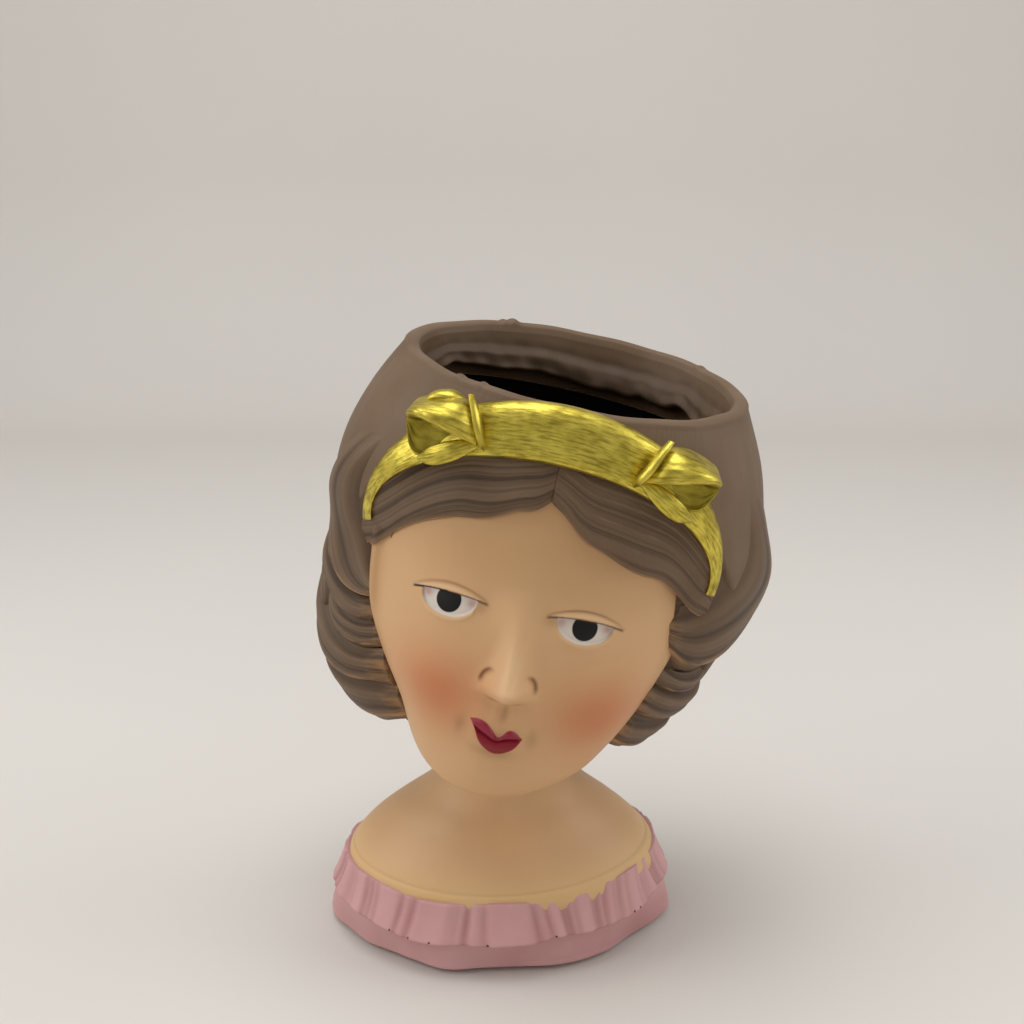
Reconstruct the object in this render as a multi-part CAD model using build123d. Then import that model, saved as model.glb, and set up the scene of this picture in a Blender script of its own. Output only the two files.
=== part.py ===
"""Head planter: a cast resin bust of a doll-like girl whose open head holds a small plant.

The castings are bonded together: a dress base with a gathered ruffle, a bust with a hollow neck, a head
that is the planting pot, and a hair cap with fringe, rolled curls, headband and bow on the outside.
Water leaves through the neck and a plugged drain hole in the base.
Row frame: +Z up, the face looks towards -Y, origin on the table under the middle of the base.
"""

from build123d import *
from math import atan2, cos, degrees, pi, radians, sin, sqrt
import os

# Head casting, measured from the head's own centre at eye height
HEAD_HALF_WIDTH = 39.2
HEAD_FRONT = 40.0
HEAD_BACK = 37.5
HEAD_CROWN = 46.0
HEAD_CHIN = 36.0
HEAD_WALL = 4.0
POT_DEPTH = 70.0
POT_FLOOR_ROUND = 0.1

# Pose of the head on the neck
HEAD_CENTRE_X = 6.2
HEAD_CENTRE_Z = 85.6
HEAD_ROLL = 12.5
HEAD_YAW = -4.0

# Hair cap around the head
HAIR_SIDE = 13.4
HAIR_FRONT = 1.5
HAIR_BACK = 9.5
HAIR_BOTTOM = 42.0
HAIR_HEM_DROP = 33.8
HAIR_HEM_TILT = -7.0
RIM_HEIGHT = 57.3
RIM_TILT = 5.0
RIM_WALL = 4.6

# Curls that sweep down and in towards the face, one under the other, counted from the top
CURL_TOP = 16.0
CURL_BACK = 6.0
CURL_INNER = 14.0
CURL_MIDDLE_X = 42.5
CURL_MIDDLE_HEIGHT = 22.0
CURL_NARROWING = 0.555
LEFT_CURL_DROPS = (26.0, 32.0, 48.5)
RIGHT_CURL_DROPS = (28.0, 33.0, 41.0)
CURL_PROUD = (1.6, 0.3, 1.0, 0.2)

# Fringe, parted in the middle of the forehead
PARTING_HEIGHT = 35.0
PARTING_GAP = 0.5
FRINGE_BOW = 1.5
FRINGE_BACK = -2.0

# Headband, between two arches that spring from the temples
BAND_SPRING_HEIGHT = 15.0
BAND_HALF_SPAN = 42.0
BAND_TOP_RISE = 40.2
BAND_WIDTH = 12.0
BAND_END_WIDTH = 2.5
BAND_THICKNESS = 2.2

# Bow loops on the headband
BOW_ROOT_X = 18.5
BOW_HEIGHT = 46.5
BOW_LENGTH = 17.0
BOW_SWEEP = 12.0
BOW_LOOP_HALF_HEIGHT = 6.4
BOW_LOOP_HALF_DEPTH = 5.6
BOW_SKIN = 1.8
LOOP_END_SHARE = 0.45
LOOP_STEPS = 4
POCKET_START = 0.35
POCKET_DROP = 2.0
KNOT_HALF_WIDTH = 3.0
KNOT_HALF_DEPTH = 3.4
KNOT_HALF_HEIGHT = 6.0
TAIL_LENGTH = 20.0
TAIL_WIDTH = 8.0
TAIL_THICKNESS = 3.6
TAIL_DROP = 30.0
TAIL_TURN = 26.0
TAIL_FALL = 9.0

# Painted features in relief on the face
EYE_SPACING = 30.0
EYE_HEIGHT = 10.3
EYE_HALF_WIDTH = 7.6
EYE_HALF_HEIGHT = 4.6
EYE_RELIEF = 1.4
NOSE_HEIGHT = -2.0
NOSE_HALF_WIDTH = 5.2
NOSE_HALF_HEIGHT = 8.5
NOSE_RELIEF = 6.2
LIPS_HEIGHT = -18.0
LIPS_HALF_WIDTH = 5.8
LIPS_HALF_HEIGHT = 3.0
LIPS_RELIEF = 1.6

# Bust, neck and tenon
SHOULDER_HALF_WIDTH = 38.6
CHEST_FRONT = 27.5
CHEST_BACK = 30.0
NECK_HALF_WIDTH = 16.6
NECK_HEIGHT = 43.0
NECK_TOP = 58.0
NECK_X = 1.9
NECK_Y = 1.0
BUST_WALL = 4.5
TENON_RADIUS = 9.0
TENON_BORE = 6.0

# Dress base and ruffle
HEM_HALF_WIDTH = 43.0
HEM_FRONT = 26.0
HEM_BACK = 31.0
HEM_LOBES = 7
HEM_WAVE = 1.3
WAVE_POINTS = 6
DRESS_TOP = 19.0
DRESS_SKIRT = 1.8
BUST_SEAT = 8.0
RUFFLE_BOTTOM = 10.5
RUFFLE_TOP = 20.8
RUFFLE_PLEATS = 34
RUFFLE_WAVE = 0.7
RUFFLE_FLARE = 2.6
RUFFLE_TILT = 2.0

# Underside: closing plate, non-slip pad and drain plug
PAD_THICKNESS = 1.0
PLATE_THICKNESS = 4.0
PLATE_LEDGE = 3.0
BASE_WALL = 7.0
PAD_MARGIN = 3.0
DRAIN_RADIUS = 4.5
DRAIN_Y = 10.0
PLUG_FLANGE_RADIUS = 7.0
PLUG_FLANGE = 1.6
PLUG_RECESS_CLEARANCE = 0.6
PLUG_PROUD = 1.2

# Fits
GLUE_GAP = 0.15
RUNNING_GAP = 0.06
REACH = 200.0

# Shares of the head's height, half-width, front and back at each level, from crown to chin
HEAD_SHAPE = (
    (1.00, 0.982, 0.875, 0.960),
    (0.78, 0.995, 0.945, 0.985),
    (0.52, 1.000, 0.988, 1.000),
    (0.22, 0.982, 0.988, 0.987),
    (-0.05, 0.939, 0.995, 0.933),
    (-0.36, 0.842, 1.000, 0.800),
    (-0.64, 0.689, 0.975, 0.587),
    (-0.83, 0.550, 0.925, 0.347),
    (-0.96, 0.375, 0.850, 0.080),
    (-1.00, 0.220, 0.750, -0.213),
)

# Shares of the hair's height, half-width, front and back at each level, from above the rim to the nape,
# and how far the level lies to the right, as a share of the hair's depth at the sides
HAIR_SHAPE = (
    (1.15, 0.665, 0.747, 0.702, 0.000),
    (0.99, 0.760, 0.872, 0.809, 0.000),
    (0.785, 0.875, 0.964, 0.904, 0.000),
    (0.56, 0.954, 0.996, 0.968, 0.000),
    (0.35, 1.000, 0.867, 1.000, 0.090),
    (0.175, 0.989, 0.700, 1.000, 0.127),
    (-0.095, 0.954, 0.639, 0.968, -0.045),
    (-0.38, 0.892, 0.590, 0.904, -0.142),
    (-0.64, 0.797, 0.506, 0.798, -0.254),
    (-0.86, 0.646, 0.361, 0.649, -0.239),
    (-1.00, 0.504, 0.217, 0.479, -0.224),
)

# Shares of the way from seat to neck, of the shoulder half-width and of the chest's front and back
BUST_SHAPE = (
    (0.00, 0.900, 0.840, 0.900),
    (0.20, 0.980, 0.960, 0.970),
    (0.37, 0.938, 0.949, 0.930),
    (0.53, 0.812, 0.830, 0.810),
    (0.68, 0.675, 0.690, 0.700),
    (0.83, 0.530, 0.580, 0.610),
)


def oval(height, half_width, front, back, middle=0.0):
    """Level ellipse that reaches half_width to each side, front towards -Y and back towards +Y."""
    return Plane((middle, (back - front) / 2, height)) * Ellipse(half_width, (front + back) / 2)


def shares_at(shape, level):
    """The shares of a shape at one level, read between its two nearest rows."""
    for upper, lower in zip(shape, shape[1:]):
        if upper[0] >= level >= lower[0]:
            part = (upper[0] - level) / (upper[0] - lower[0])
            return [u + part * (low - u) for u, low in zip(upper[1:], lower[1:])]
    raise ValueError("level outside the shape")


def head_oval(level, grow=0.0, rise=0.0):
    """One level of the head casting's outside, grown all round by grow and lifted by rise."""
    width, front, back = shares_at(HEAD_SHAPE, level)
    height = level * (HEAD_CROWN if level > 0 else HEAD_CHIN) + rise
    return oval(height, width * HEAD_HALF_WIDTH + grow, front * HEAD_FRONT + grow, back * HEAD_BACK + grow)


def head_form(grow=0.0):
    """The head's plain outside, from the chin to the flat crown."""
    levels = [row[0] for row in HEAD_SHAPE]
    rises = [grow] + [0.0] * (len(levels) - 2) + [-grow]
    return loft([head_oval(level, grow, rise) for level, rise in zip(levels, rises)])


def hair_sizes(height):
    """Half-width, front, back and middle of the hair's outside at a height above the head's centre."""
    level = height / (RIM_HEIGHT if height > 0 else HAIR_BOTTOM)
    width, front, back, shift = shares_at(HAIR_SHAPE, level)
    return (
        width * (HEAD_HALF_WIDTH + HAIR_SIDE),
        front * (HEAD_FRONT + HAIR_FRONT),
        back * (HEAD_BACK + HAIR_BACK),
        shift * HAIR_SIDE,
    )


def hair_oval(height, grow=0.0):
    """One level of the hair's outside."""
    *sizes, middle = hair_sizes(height)
    return oval(height, *(size + grow for size in sizes), middle)


def hair_heights():
    """Heights of the rows of the hair's shape."""
    return [row[0] * (RIM_HEIGHT if row[0] > 0 else HAIR_BOTTOM) for row in HAIR_SHAPE]


def hair_form(grow=0.0):
    """The hair's whole outside as one closed form."""
    return loft([hair_oval(height, grow) for height in hair_heights()])


def hair_front_y(x, height, grow=0.0):
    """Y of the hair's outside, in front, at a distance x from the middle and a height."""
    *sizes, middle = hair_sizes(height)
    half_width, front, back = (size + grow for size in sizes)
    return (back - front) / 2 - (front + back) / 2 * sqrt(1 - ((x - middle) / half_width) ** 2)


def pot_form():
    """The planting space: inside the head's wall, then out through the rim."""
    floor_level = (HEAD_CROWN - POT_DEPTH) / HEAD_CHIN
    levels = [row[0] for row in HEAD_SHAPE if row[0] > floor_level + POT_FLOOR_ROUND]
    inside = [head_oval(level, -HEAD_WALL) for level in (*levels, floor_level)]
    rim = hair_oval(RIM_HEIGHT, -RIM_WALL)
    return loft([rim.moved(Location((0, 0, RIM_HEIGHT - HEAD_CROWN))), rim, *inside])


def half_space(height, tilt, about, upwards):
    """Everything above or below a plane at a height, tilted about an axis through the head's centre."""
    block = Pos(0, 0, REACH / 2 if upwards else -REACH / 2) * Box(REACH, REACH, REACH)
    return Pos(0, 0, height) * block.rotate(about, tilt)


def face_block(gap=0.0):
    """The space of the rolled curls: in front of the ears and below the fringe, less a gap."""
    return Pos(0, CURL_BACK - gap - REACH / 2, CURL_TOP - gap - REACH / 2) * Box(REACH, REACH, REACH)


def side_block(side, inner):
    """Everything further than inner from the middle, on the left (-1) or the right (1)."""
    return Pos(side * (inner + REACH / 2), 0, 0) * Box(REACH, REACH, REACH)


def front_prism(outline, back=FRINGE_BACK):
    """Runs an outline drawn in the XZ plane from well before the face back to a depth."""
    return extrude(Plane((0, -REACH / 2, 0), (1, 0, 0), (0, -1, 0)) * outline, -(REACH / 2 + back))


def arch(half_span, rise):
    """Ellipse over the face, centred at the band's springing height."""
    return Pos(0, BAND_SPRING_HEIGHT) * Ellipse(half_span, rise)


def seam_arch(gap=0.0):
    """The arch hidden under the middle of the band, where the fringe meets the hair cap."""
    return arch(BAND_HALF_SPAN - BAND_END_WIDTH / 2 - gap, BAND_TOP_RISE - BAND_WIDTH / 2 - gap)


def pebble(half_width, half_depth, half_height):
    """Ellipsoid about the origin."""
    return scale(Sphere(1), by=(half_width, half_depth, half_height))


def head_front_y(x, height):
    """Y of the head's outside, in front, at a distance x from the middle and a height."""
    level = height / (HEAD_CROWN if height > 0 else HEAD_CHIN)
    width, front, back = shares_at(HEAD_SHAPE, level)
    middle = (back * HEAD_BACK - front * HEAD_FRONT) / 2
    depth = (back * HEAD_BACK + front * HEAD_FRONT) / 2
    return middle - depth * sqrt(1 - (x / (width * HEAD_HALF_WIDTH)) ** 2)


def relief(x, height, half_width, half_height, proud):
    """A rounded feature that stands proud of the face, half sunk in it."""
    place = Pos(x, head_front_y(x, height), height)
    facing = Rot(0, 0, degrees(atan2(x, HEAD_FRONT)))
    return place * facing * pebble(half_width, proud, half_height)


def neck_oval(height, grow=0.0):
    """One level of the neck."""
    half_width = NECK_HALF_WIDTH + grow
    return oval(height, half_width, half_width - NECK_Y, half_width + NECK_Y, NECK_X)


def bust_form(grow=0.0):
    """Shoulders and neck, from the seat in the dress to inside the head."""
    ovals = []
    for level, width, front, back in BUST_SHAPE:
        sizes = width * SHOULDER_HALF_WIDTH, front * CHEST_FRONT, back * CHEST_BACK
        height = BUST_SEAT + level * (NECK_HEIGHT - BUST_SEAT)
        ovals.append(oval(height, *(size + grow for size in sizes), level * NECK_X))
    return loft([*ovals, neck_oval(NECK_HEIGHT, grow), neck_oval(NECK_TOP + grow, grow)])


def bust_hollow():
    """The space inside the shoulders, from the seat up to the root of the neck."""
    return bust_form(-BUST_WALL) & half_space(NECK_HEIGHT, 0, Axis.X, False)


def upright_bar(radius, x, y, bottom, top):
    """Vertical cylinder between two heights."""
    return Pos(x, y, (bottom + top) / 2) * Cylinder(radius, top - bottom)


def tenon_bar(radius, bottom):
    """A bar in line with the neck's tenon, up to just above the floor of the planting space."""
    pot_floor = HEAD_CENTRE_Z - (POT_DEPTH - HEAD_CROWN) * cos(radians(HEAD_ROLL))
    return upright_bar(radius, NECK_X, NECK_Y, bottom, pot_floor + TENON_RADIUS)


def wavy_oval(height, half_width, front, back, waves, depth):
    """Level oval whose edge goes in and out by depth, in a number of waves."""
    middle, half_depth = (back - front) / 2, (front + back) / 2
    points = []
    for step in range(waves * WAVE_POINTS):
        angle = 2 * pi * step / (waves * WAVE_POINTS)
        swell = depth * cos(waves * angle)
        points.append(((half_width + swell) * cos(angle), middle + (half_depth + swell) * sin(angle)))
    return Pos(0, 0, height) * make_face(Spline(points, periodic=True))


def dress_form(grow=0.0):
    """Outside of the pink dress base: a wavy hem that draws in to the shoulders."""
    hem = HEM_HALF_WIDTH + grow, HEM_FRONT + grow, HEM_BACK + grow
    thick = DRESS_SKIRT + grow
    top = SHOULDER_HALF_WIDTH + thick, CHEST_FRONT + thick, CHEST_BACK + thick
    low = wavy_oval(PAD_THICKNESS, *hem, HEM_LOBES, HEM_WAVE)
    return loft([low, wavy_oval(DRESS_TOP, *top, HEM_LOBES, 0.0)])


def base_oval(height, inset):
    """Level oval inside the hem's wall."""
    return oval(height, *(size - inset for size in (HEM_HALF_WIDTH, HEM_FRONT, HEM_BACK)))


def base_block(inset, bottom, top):
    """Straight block of a base oval between two heights."""
    return extrude(base_oval(bottom, inset), top - bottom)


PLATE_TOP = PAD_THICKNESS + PLATE_THICKNESS
HEAD_POSE = Location((HEAD_CENTRE_X, 0, HEAD_CENTRE_Z), (0, HEAD_ROLL, HEAD_YAW))
BAND_OUTSIDE = GLUE_GAP + BAND_THICKNESS


def make_head():
    """The face and skull as one pot, with a hole in its floor for the neck's tenon."""
    face = head_form()
    for side in (-1, 1):
        face += relief(side * EYE_SPACING / 2, EYE_HEIGHT, EYE_HALF_WIDTH, EYE_HALF_HEIGHT, EYE_RELIEF)
    face += relief(0, NOSE_HEIGHT, NOSE_HALF_WIDTH, NOSE_HALF_HEIGHT, NOSE_RELIEF)
    face += relief(0, LIPS_HEIGHT, LIPS_HALF_WIDTH, LIPS_HALF_HEIGHT, LIPS_RELIEF)
    return HEAD_POSE * (face - pot_form()) - tenon_bar(TENON_RADIUS + GLUE_GAP, NECK_HEIGHT)


def above_hem():
    """Everything above the level at which the hair ends."""
    return half_space(-HAIR_HEM_DROP, HAIR_HEM_TILT, Axis.Y, True)


def hair_shell():
    """All the hair between the head and the hair's outside, cut at the rim, the hem and the neck."""
    shell = hair_form() - head_form(GLUE_GAP) - pot_form()
    shell &= half_space(RIM_HEIGHT, RIM_TILT, Axis.X, False)
    return shell & above_hem() - HEAD_POSE.inverse() * bust_form(GLUE_GAP)


def make_hair_cap(shell):
    """The hair over the crown, sides and back, with the pot's rim and collar."""
    return HEAD_POSE * (shell - face_block() - front_prism(seam_arch()))


def fringe_outline(side):
    """Half of the fringe seen from the front: below the seam arch, above a bowed lower edge."""
    start = side * PARTING_GAP / 2, PARTING_HEIGHT
    end = side * BAND_HALF_SPAN, CURL_TOP + GLUE_GAP
    middle = (start[0] + end[0]) / 2, (start[1] + end[1]) / 2 - FRINGE_BOW
    edge = ThreePointArc(start, middle, end)
    rest = Polyline(end, (end[0], RIM_HEIGHT), (start[0], RIM_HEIGHT), start)
    return make_face([edge, rest]) & seam_arch(GLUE_GAP)


def make_fringe(shell, side):
    """One side of the parted fringe, bonded to the forehead."""
    piece = shell & front_prism(fringe_outline(side))
    return HEAD_POSE * (piece - face_block(-GLUE_GAP))


def curl_sweep(side, drop):
    """The line along which a curl sweeps down and in, seen from the front: the foot of an ellipse."""
    return Pos(side * CURL_MIDDLE_X, CURL_MIDDLE_HEIGHT) * Ellipse(CURL_NARROWING * drop, drop)


def curl_form(proud):
    """The hair's outside below the top of the curls, swelling out from there to stand proud."""
    swollen = [hair_oval(height, proud) for height in hair_heights() if height < CURL_TOP]
    return loft([hair_oval(CURL_TOP), *swollen])


def make_curl(side, outline, proud):
    """One curl: the hair beside the face within an outline seen from the front, standing proud."""
    piece = curl_form(proud) - head_form(GLUE_GAP)
    piece &= face_block(GLUE_GAP)
    piece &= side_block(side, CURL_INNER)
    piece &= above_hem()
    piece &= front_prism(outline, CURL_BACK)
    return HEAD_POSE * piece - bust_form(GLUE_GAP)


def make_curls(side, drops):
    """Curls that lie one under the other, the last down to the hem."""
    outlines = [curl_sweep(side, drop) for drop in drops] + [Rectangle(REACH, REACH)]
    inner = [curl_sweep(side, drop + GLUE_GAP) for drop in drops]
    rings = [outlines[0], *(outer - cut for outer, cut in zip(outlines[1:], inner))]
    return [make_curl(side, ring, proud) for ring, proud in zip(rings, CURL_PROUD)]


def make_headband():
    """The gold band laid over the seam of hair cap and fringe."""
    sheet = hair_form(BAND_OUTSIDE) - hair_form(GLUE_GAP)
    lower = arch(BAND_HALF_SPAN - BAND_END_WIDTH, BAND_TOP_RISE - BAND_WIDTH)
    band = sheet & front_prism(arch(BAND_HALF_SPAN, BAND_TOP_RISE) - lower)
    return HEAD_POSE * (band - face_block(-GLUE_GAP))


def bow_root():
    """Where the right bow springs from the band's outside."""
    return BOW_ROOT_X, hair_front_y(BOW_ROOT_X, BOW_HEIGHT, BAND_OUTSIDE), BOW_HEIGHT


def band_clearance():
    """The band's outside, grown by the glue gap."""
    return hair_form(BAND_OUTSIDE + GLUE_GAP)


def loop_form(skin=0.0, drop=0.0, first=0.0):
    """The right bow's leaf-shaped loop from a first share of its length to its tip, less a skin."""
    along = Vector(cos(radians(BOW_SWEEP)), sin(radians(BOW_SWEEP)), 0)
    across = Vector(-along.Y, along.X, 0)
    ovals = []
    for step in range(LOOP_STEPS + 1):
        share = first + (1 - first) * step / LOOP_STEPS
        swell = LOOP_END_SHARE + (1 - LOOP_END_SHARE) * sin(pi * share)
        centre = Vector(*bow_root()) + along * (BOW_LENGTH * share - skin * step / LOOP_STEPS)
        plane = Plane(centre - Vector(0, 0, drop), across, along)
        ovals.append(plane * Ellipse(BOW_LOOP_HALF_DEPTH * swell - skin, BOW_LOOP_HALF_HEIGHT * swell - skin))
    return loft(ovals)


def knot_form(grow=0.0):
    """The tight wrap at the root of the right bow."""
    return Pos(*bow_root()) * pebble(KNOT_HALF_WIDTH + grow, KNOT_HALF_DEPTH + grow, KNOT_HALF_HEIGHT + grow)


def bow_loop():
    """The upper loop of the right bow, hollow from below as folded ribbon is."""
    pocket = loop_form(BOW_SKIN, BOW_SKIN + POCKET_DROP, POCKET_START)
    return loop_form() - pocket - knot_form(GLUE_GAP) - band_clearance()


def bow_knot():
    """The right bow's knot, seated on the band."""
    return knot_form() - band_clearance()


def bow_tail():
    """The loose end of the right bow's ribbon, a flat leaf on the band below the loop."""
    x = BOW_ROOT_X + TAIL_LENGTH / 2 * cos(radians(TAIL_DROP))
    height = BOW_HEIGHT - TAIL_FALL
    leaf = Rot(0, TAIL_DROP, TAIL_TURN) * pebble(TAIL_LENGTH / 2, TAIL_THICKNESS, TAIL_WIDTH / 2)
    leaf = Pos(x, hair_front_y(x, height, BAND_OUTSIDE), height) * leaf
    return leaf - band_clearance() - knot_form(GLUE_GAP) - loop_form(-GLUE_GAP)


def make_bow_piece(piece, side):
    """A piece of the right bow in its place, or its mirror image on the left."""
    return HEAD_POSE * (piece if side > 0 else mirror(piece, Plane.YZ))


def make_bust():
    """Hollow shoulders and neck, coped to the head, with a bored tenon that drains the pot."""
    neck = bust_form() - HEAD_POSE * head_form(GLUE_GAP)
    neck += tenon_bar(TENON_RADIUS, NECK_HEIGHT) - HEAD_POSE * pot_form()
    return neck - bust_hollow() - tenon_bar(TENON_BORE, BUST_SEAT)


def make_dress_base():
    """The pink base around the shoulders, with a ledge for the closing plate."""
    inside = base_block(BASE_WALL, PAD_THICKNESS, PLATE_TOP)
    inside += base_block(BASE_WALL + PLATE_LEDGE, PLATE_TOP, BUST_SEAT)
    return dress_form() - bust_form(GLUE_GAP) - inside - bust_hollow()


def make_ruffle():
    """The gathered frill round the neckline, flared and pleated."""
    top = SHOULDER_HALF_WIDTH + DRESS_SKIRT, CHEST_FRONT + DRESS_SKIRT, CHEST_BACK + DRESS_SKIRT
    low = wavy_oval(RUFFLE_BOTTOM, *(size + RUFFLE_FLARE for size in top), RUFFLE_PLEATS, RUFFLE_WAVE)
    high = wavy_oval(RUFFLE_TOP, *top, RUFFLE_PLEATS, RUFFLE_WAVE / 2)
    frill = loft([low, high]).rotate(Axis((0, 0, RUFFLE_TOP), (0, 1, 0)), -RUFFLE_TILT)
    return frill - dress_form(GLUE_GAP) - bust_form(GLUE_GAP)


def make_base_plate():
    """The plate that closes the base, with the drain hole and a recess for the plug's flange."""
    plate = base_block(BASE_WALL + GLUE_GAP, PAD_THICKNESS, PLATE_TOP)
    plate -= upright_bar(DRAIN_RADIUS, 0, DRAIN_Y, PAD_THICKNESS, PLATE_TOP)
    recess = PLUG_FLANGE_RADIUS + PLUG_RECESS_CLEARANCE
    return plate - upright_bar(recess, 0, DRAIN_Y, PAD_THICKNESS, PAD_THICKNESS + PLUG_FLANGE)


def make_base_pad():
    """The non-slip foam pad under the plate, open round the drain plug."""
    pad = base_block(BASE_WALL + PAD_MARGIN, 0, PAD_THICKNESS)
    opening = PLUG_FLANGE_RADIUS + PLUG_RECESS_CLEARANCE
    return pad - upright_bar(opening, 0, DRAIN_Y, 0, PAD_THICKNESS)


def make_drain_plug():
    """Rubber plug pushed into the drain hole from below."""
    flange_top = PAD_THICKNESS + PLUG_FLANGE
    flange = upright_bar(PLUG_FLANGE_RADIUS, 0, DRAIN_Y, PAD_THICKNESS, flange_top)
    stem_radius = DRAIN_RADIUS - RUNNING_GAP
    return flange + upright_bar(stem_radius, 0, DRAIN_Y, flange_top, PLATE_TOP + PLUG_PROUD)


os.makedirs("parts", exist_ok=True)
shell = hair_shell()
bow = {"loop": bow_loop(), "knot": bow_knot(), "tail": bow_tail()}
nodes = {
    "head_pot": make_head(),
    "hair_cap": make_hair_cap(shell),
    "headband": make_headband(),
    "bust": make_bust(),
    "dress_base": make_dress_base(),
    "dress_ruffle": make_ruffle(),
    "base_plate": make_base_plate(),
    "base_pad": make_base_pad(),
    "drain_plug": make_drain_plug(),
}
for name, side, drops in (("left", -1, LEFT_CURL_DROPS), ("right", 1, RIGHT_CURL_DROPS)):
    nodes[f"fringe_{name}"] = make_fringe(shell, side)
    for bow_part, piece in bow.items():
        nodes[f"bow_{bow_part}_{name}"] = make_bow_piece(piece, side)
    for count, curl in enumerate(make_curls(side, drops), 1):
        nodes[f"curl_{name}_{count}"] = curl
for name, shape in nodes.items():
    export_step(shape, f"parts/{name}.step")
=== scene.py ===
import bpy
import numpy as np
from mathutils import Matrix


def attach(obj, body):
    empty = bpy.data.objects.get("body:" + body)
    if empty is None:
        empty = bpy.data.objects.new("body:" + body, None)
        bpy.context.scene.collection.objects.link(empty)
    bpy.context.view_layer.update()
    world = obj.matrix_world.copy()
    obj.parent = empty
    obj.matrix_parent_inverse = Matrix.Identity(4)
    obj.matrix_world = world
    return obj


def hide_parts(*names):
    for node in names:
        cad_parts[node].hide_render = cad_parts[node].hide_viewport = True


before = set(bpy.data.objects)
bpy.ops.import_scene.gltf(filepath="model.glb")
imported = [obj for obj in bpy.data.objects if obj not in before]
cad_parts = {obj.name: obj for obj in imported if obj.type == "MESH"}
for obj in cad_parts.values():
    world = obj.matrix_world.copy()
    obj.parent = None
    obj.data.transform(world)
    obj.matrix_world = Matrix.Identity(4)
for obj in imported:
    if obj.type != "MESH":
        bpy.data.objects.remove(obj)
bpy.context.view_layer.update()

# Studio: a sheet of pale warm paper that runs under the planter and curves up behind it, lit by
# soft boxes on both sides and above. The camera looks down at about 16 degrees from a forearm's
# length, as a phone held over a table does.

PHOTO_WIDTH = 1024
FOCAL_PIXELS = 1400
CAMERA_PLACE = (3.0, -319.0, 197.0)
CAMERA_DOWN = 15.7
PAPER_COLOUR = "#DDD9D3"
PAPER_FOLD_Y = 560.0
PAPER_FOLD_RADIUS = 160.0
PAPER_HALF_WIDTH = 1600.0
WORLD_COLOUR = "#E6E4E2"
WORLD_LIGHT = 0.61
SOFT_BOXES = (
    ("left_box", (-620.0, -120.0, 430.0), (0.0, 0.0, 85.0), 480.0, 1.6),
    ("right_box", (660.0, -20.0, 430.0), (0.0, 0.0, 85.0), 480.0, 1.4),
    ("top_box", (-40.0, -20.0, 820.0), (0.0, 10.0, 100.0), 520.0, 2.7),
)


def linear(colour):
    """Linear RGBA of an sRGB hex colour: each channel is c/12.92 below 0.04045, else ((c+0.055)/1.055)^2.4."""
    channels = np.array([int(colour[i:i + 2], 16) for i in (1, 3, 5)]) / 255
    curve = np.where(channels <= 0.04045, channels / 12.92, ((channels + 0.055) / 1.055) ** 2.4)
    return (*curve.tolist(), 1.0)


def wire(tree, node, inputs):
    """Gives each named socket of a node a link or a constant."""
    for socket, value in inputs.items():
        if isinstance(value, bpy.types.Node):
            value = value.outputs[0]
        if isinstance(value, bpy.types.NodeSocket):
            tree.links.new(value, node.inputs[socket])
        else:
            node.inputs[socket].default_value = value


def add(tree, kind, inputs=None, **settings):
    """Adds one node: settings are its properties, and inputs gives each socket a link or a constant."""
    node = tree.nodes.new("ShaderNode" + kind)
    for name, value in settings.items():
        setattr(node, name, value)
    wire(tree, node, inputs or {})
    return node


def finish_of(name):
    """A new material with one principled shader: gives the material, its node tree and the shader."""
    material = bpy.data.materials.new(name)
    material.use_nodes = True
    tree = material.node_tree
    return material, tree, tree.nodes["Principled BSDF"]


def smooth(at, knots, values):
    """A curve through values at knots: cubic Hermite pieces whose slope at a knot is the mean slope there."""
    knots, values = np.asarray(knots, float), np.asarray(values, float)
    at = np.clip(at, knots[0], knots[-1])
    left = np.clip(np.searchsorted(knots, at, side="right") - 1, 0, len(knots) - 2)
    slope = np.gradient(values, knots, axis=0)
    spread = (...,) + (None,) * (values.ndim - 1)
    gap = (knots[left + 1] - knots[left])[spread]
    t = ((at - knots[left]) / (knots[left + 1] - knots[left]))[spread]
    start = (1 + 2 * t) * values[left] + t * gap * slope[left]
    end = (3 - 2 * t) * values[left + 1] + (t - 1) * gap * slope[left + 1]
    return (1 - t) ** 2 * start + t ** 2 * end


camera = bpy.data.objects.new("camera", bpy.data.cameras.new("camera"))
camera.data.sensor_width = 36.0
camera.data.lens = 36.0 * FOCAL_PIXELS / PHOTO_WIDTH
camera.data.clip_start = 0.01
camera.location = np.array(CAMERA_PLACE) / 1000
camera.rotation_euler = (np.radians(90 - CAMERA_DOWN), 0, 0)
bpy.context.scene.collection.objects.link(camera)
bpy.context.scene.camera = camera
bpy.context.scene.view_settings.view_transform = "Standard"

turn = np.linspace(0, np.pi / 2, 24)
paper_y = np.concatenate([[-1500.0], PAPER_FOLD_Y + PAPER_FOLD_RADIUS * np.sin(turn), [PAPER_FOLD_Y + PAPER_FOLD_RADIUS]])
paper_z = np.concatenate([[0.0], PAPER_FOLD_RADIUS * (1 - np.cos(turn)), [1500.0]])
paper_x = np.array([-PAPER_HALF_WIDTH, PAPER_HALF_WIDTH])
paper_points = np.stack(np.broadcast_arrays(paper_x[None, :], paper_y[:, None], paper_z[:, None]), -1) / 1000
paper_rows = np.arange(len(paper_y) - 1) * 2
paper_mesh = bpy.data.meshes.new("paper")
paper_mesh.from_pydata(
    paper_points.reshape(-1, 3).tolist(), [],
    np.stack([paper_rows, paper_rows + 1, paper_rows + 3, paper_rows + 2], -1).tolist(),
)
paper_mesh.shade_smooth()
paper = bpy.data.objects.new("paper", paper_mesh)
bpy.context.scene.collection.objects.link(paper)

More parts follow.
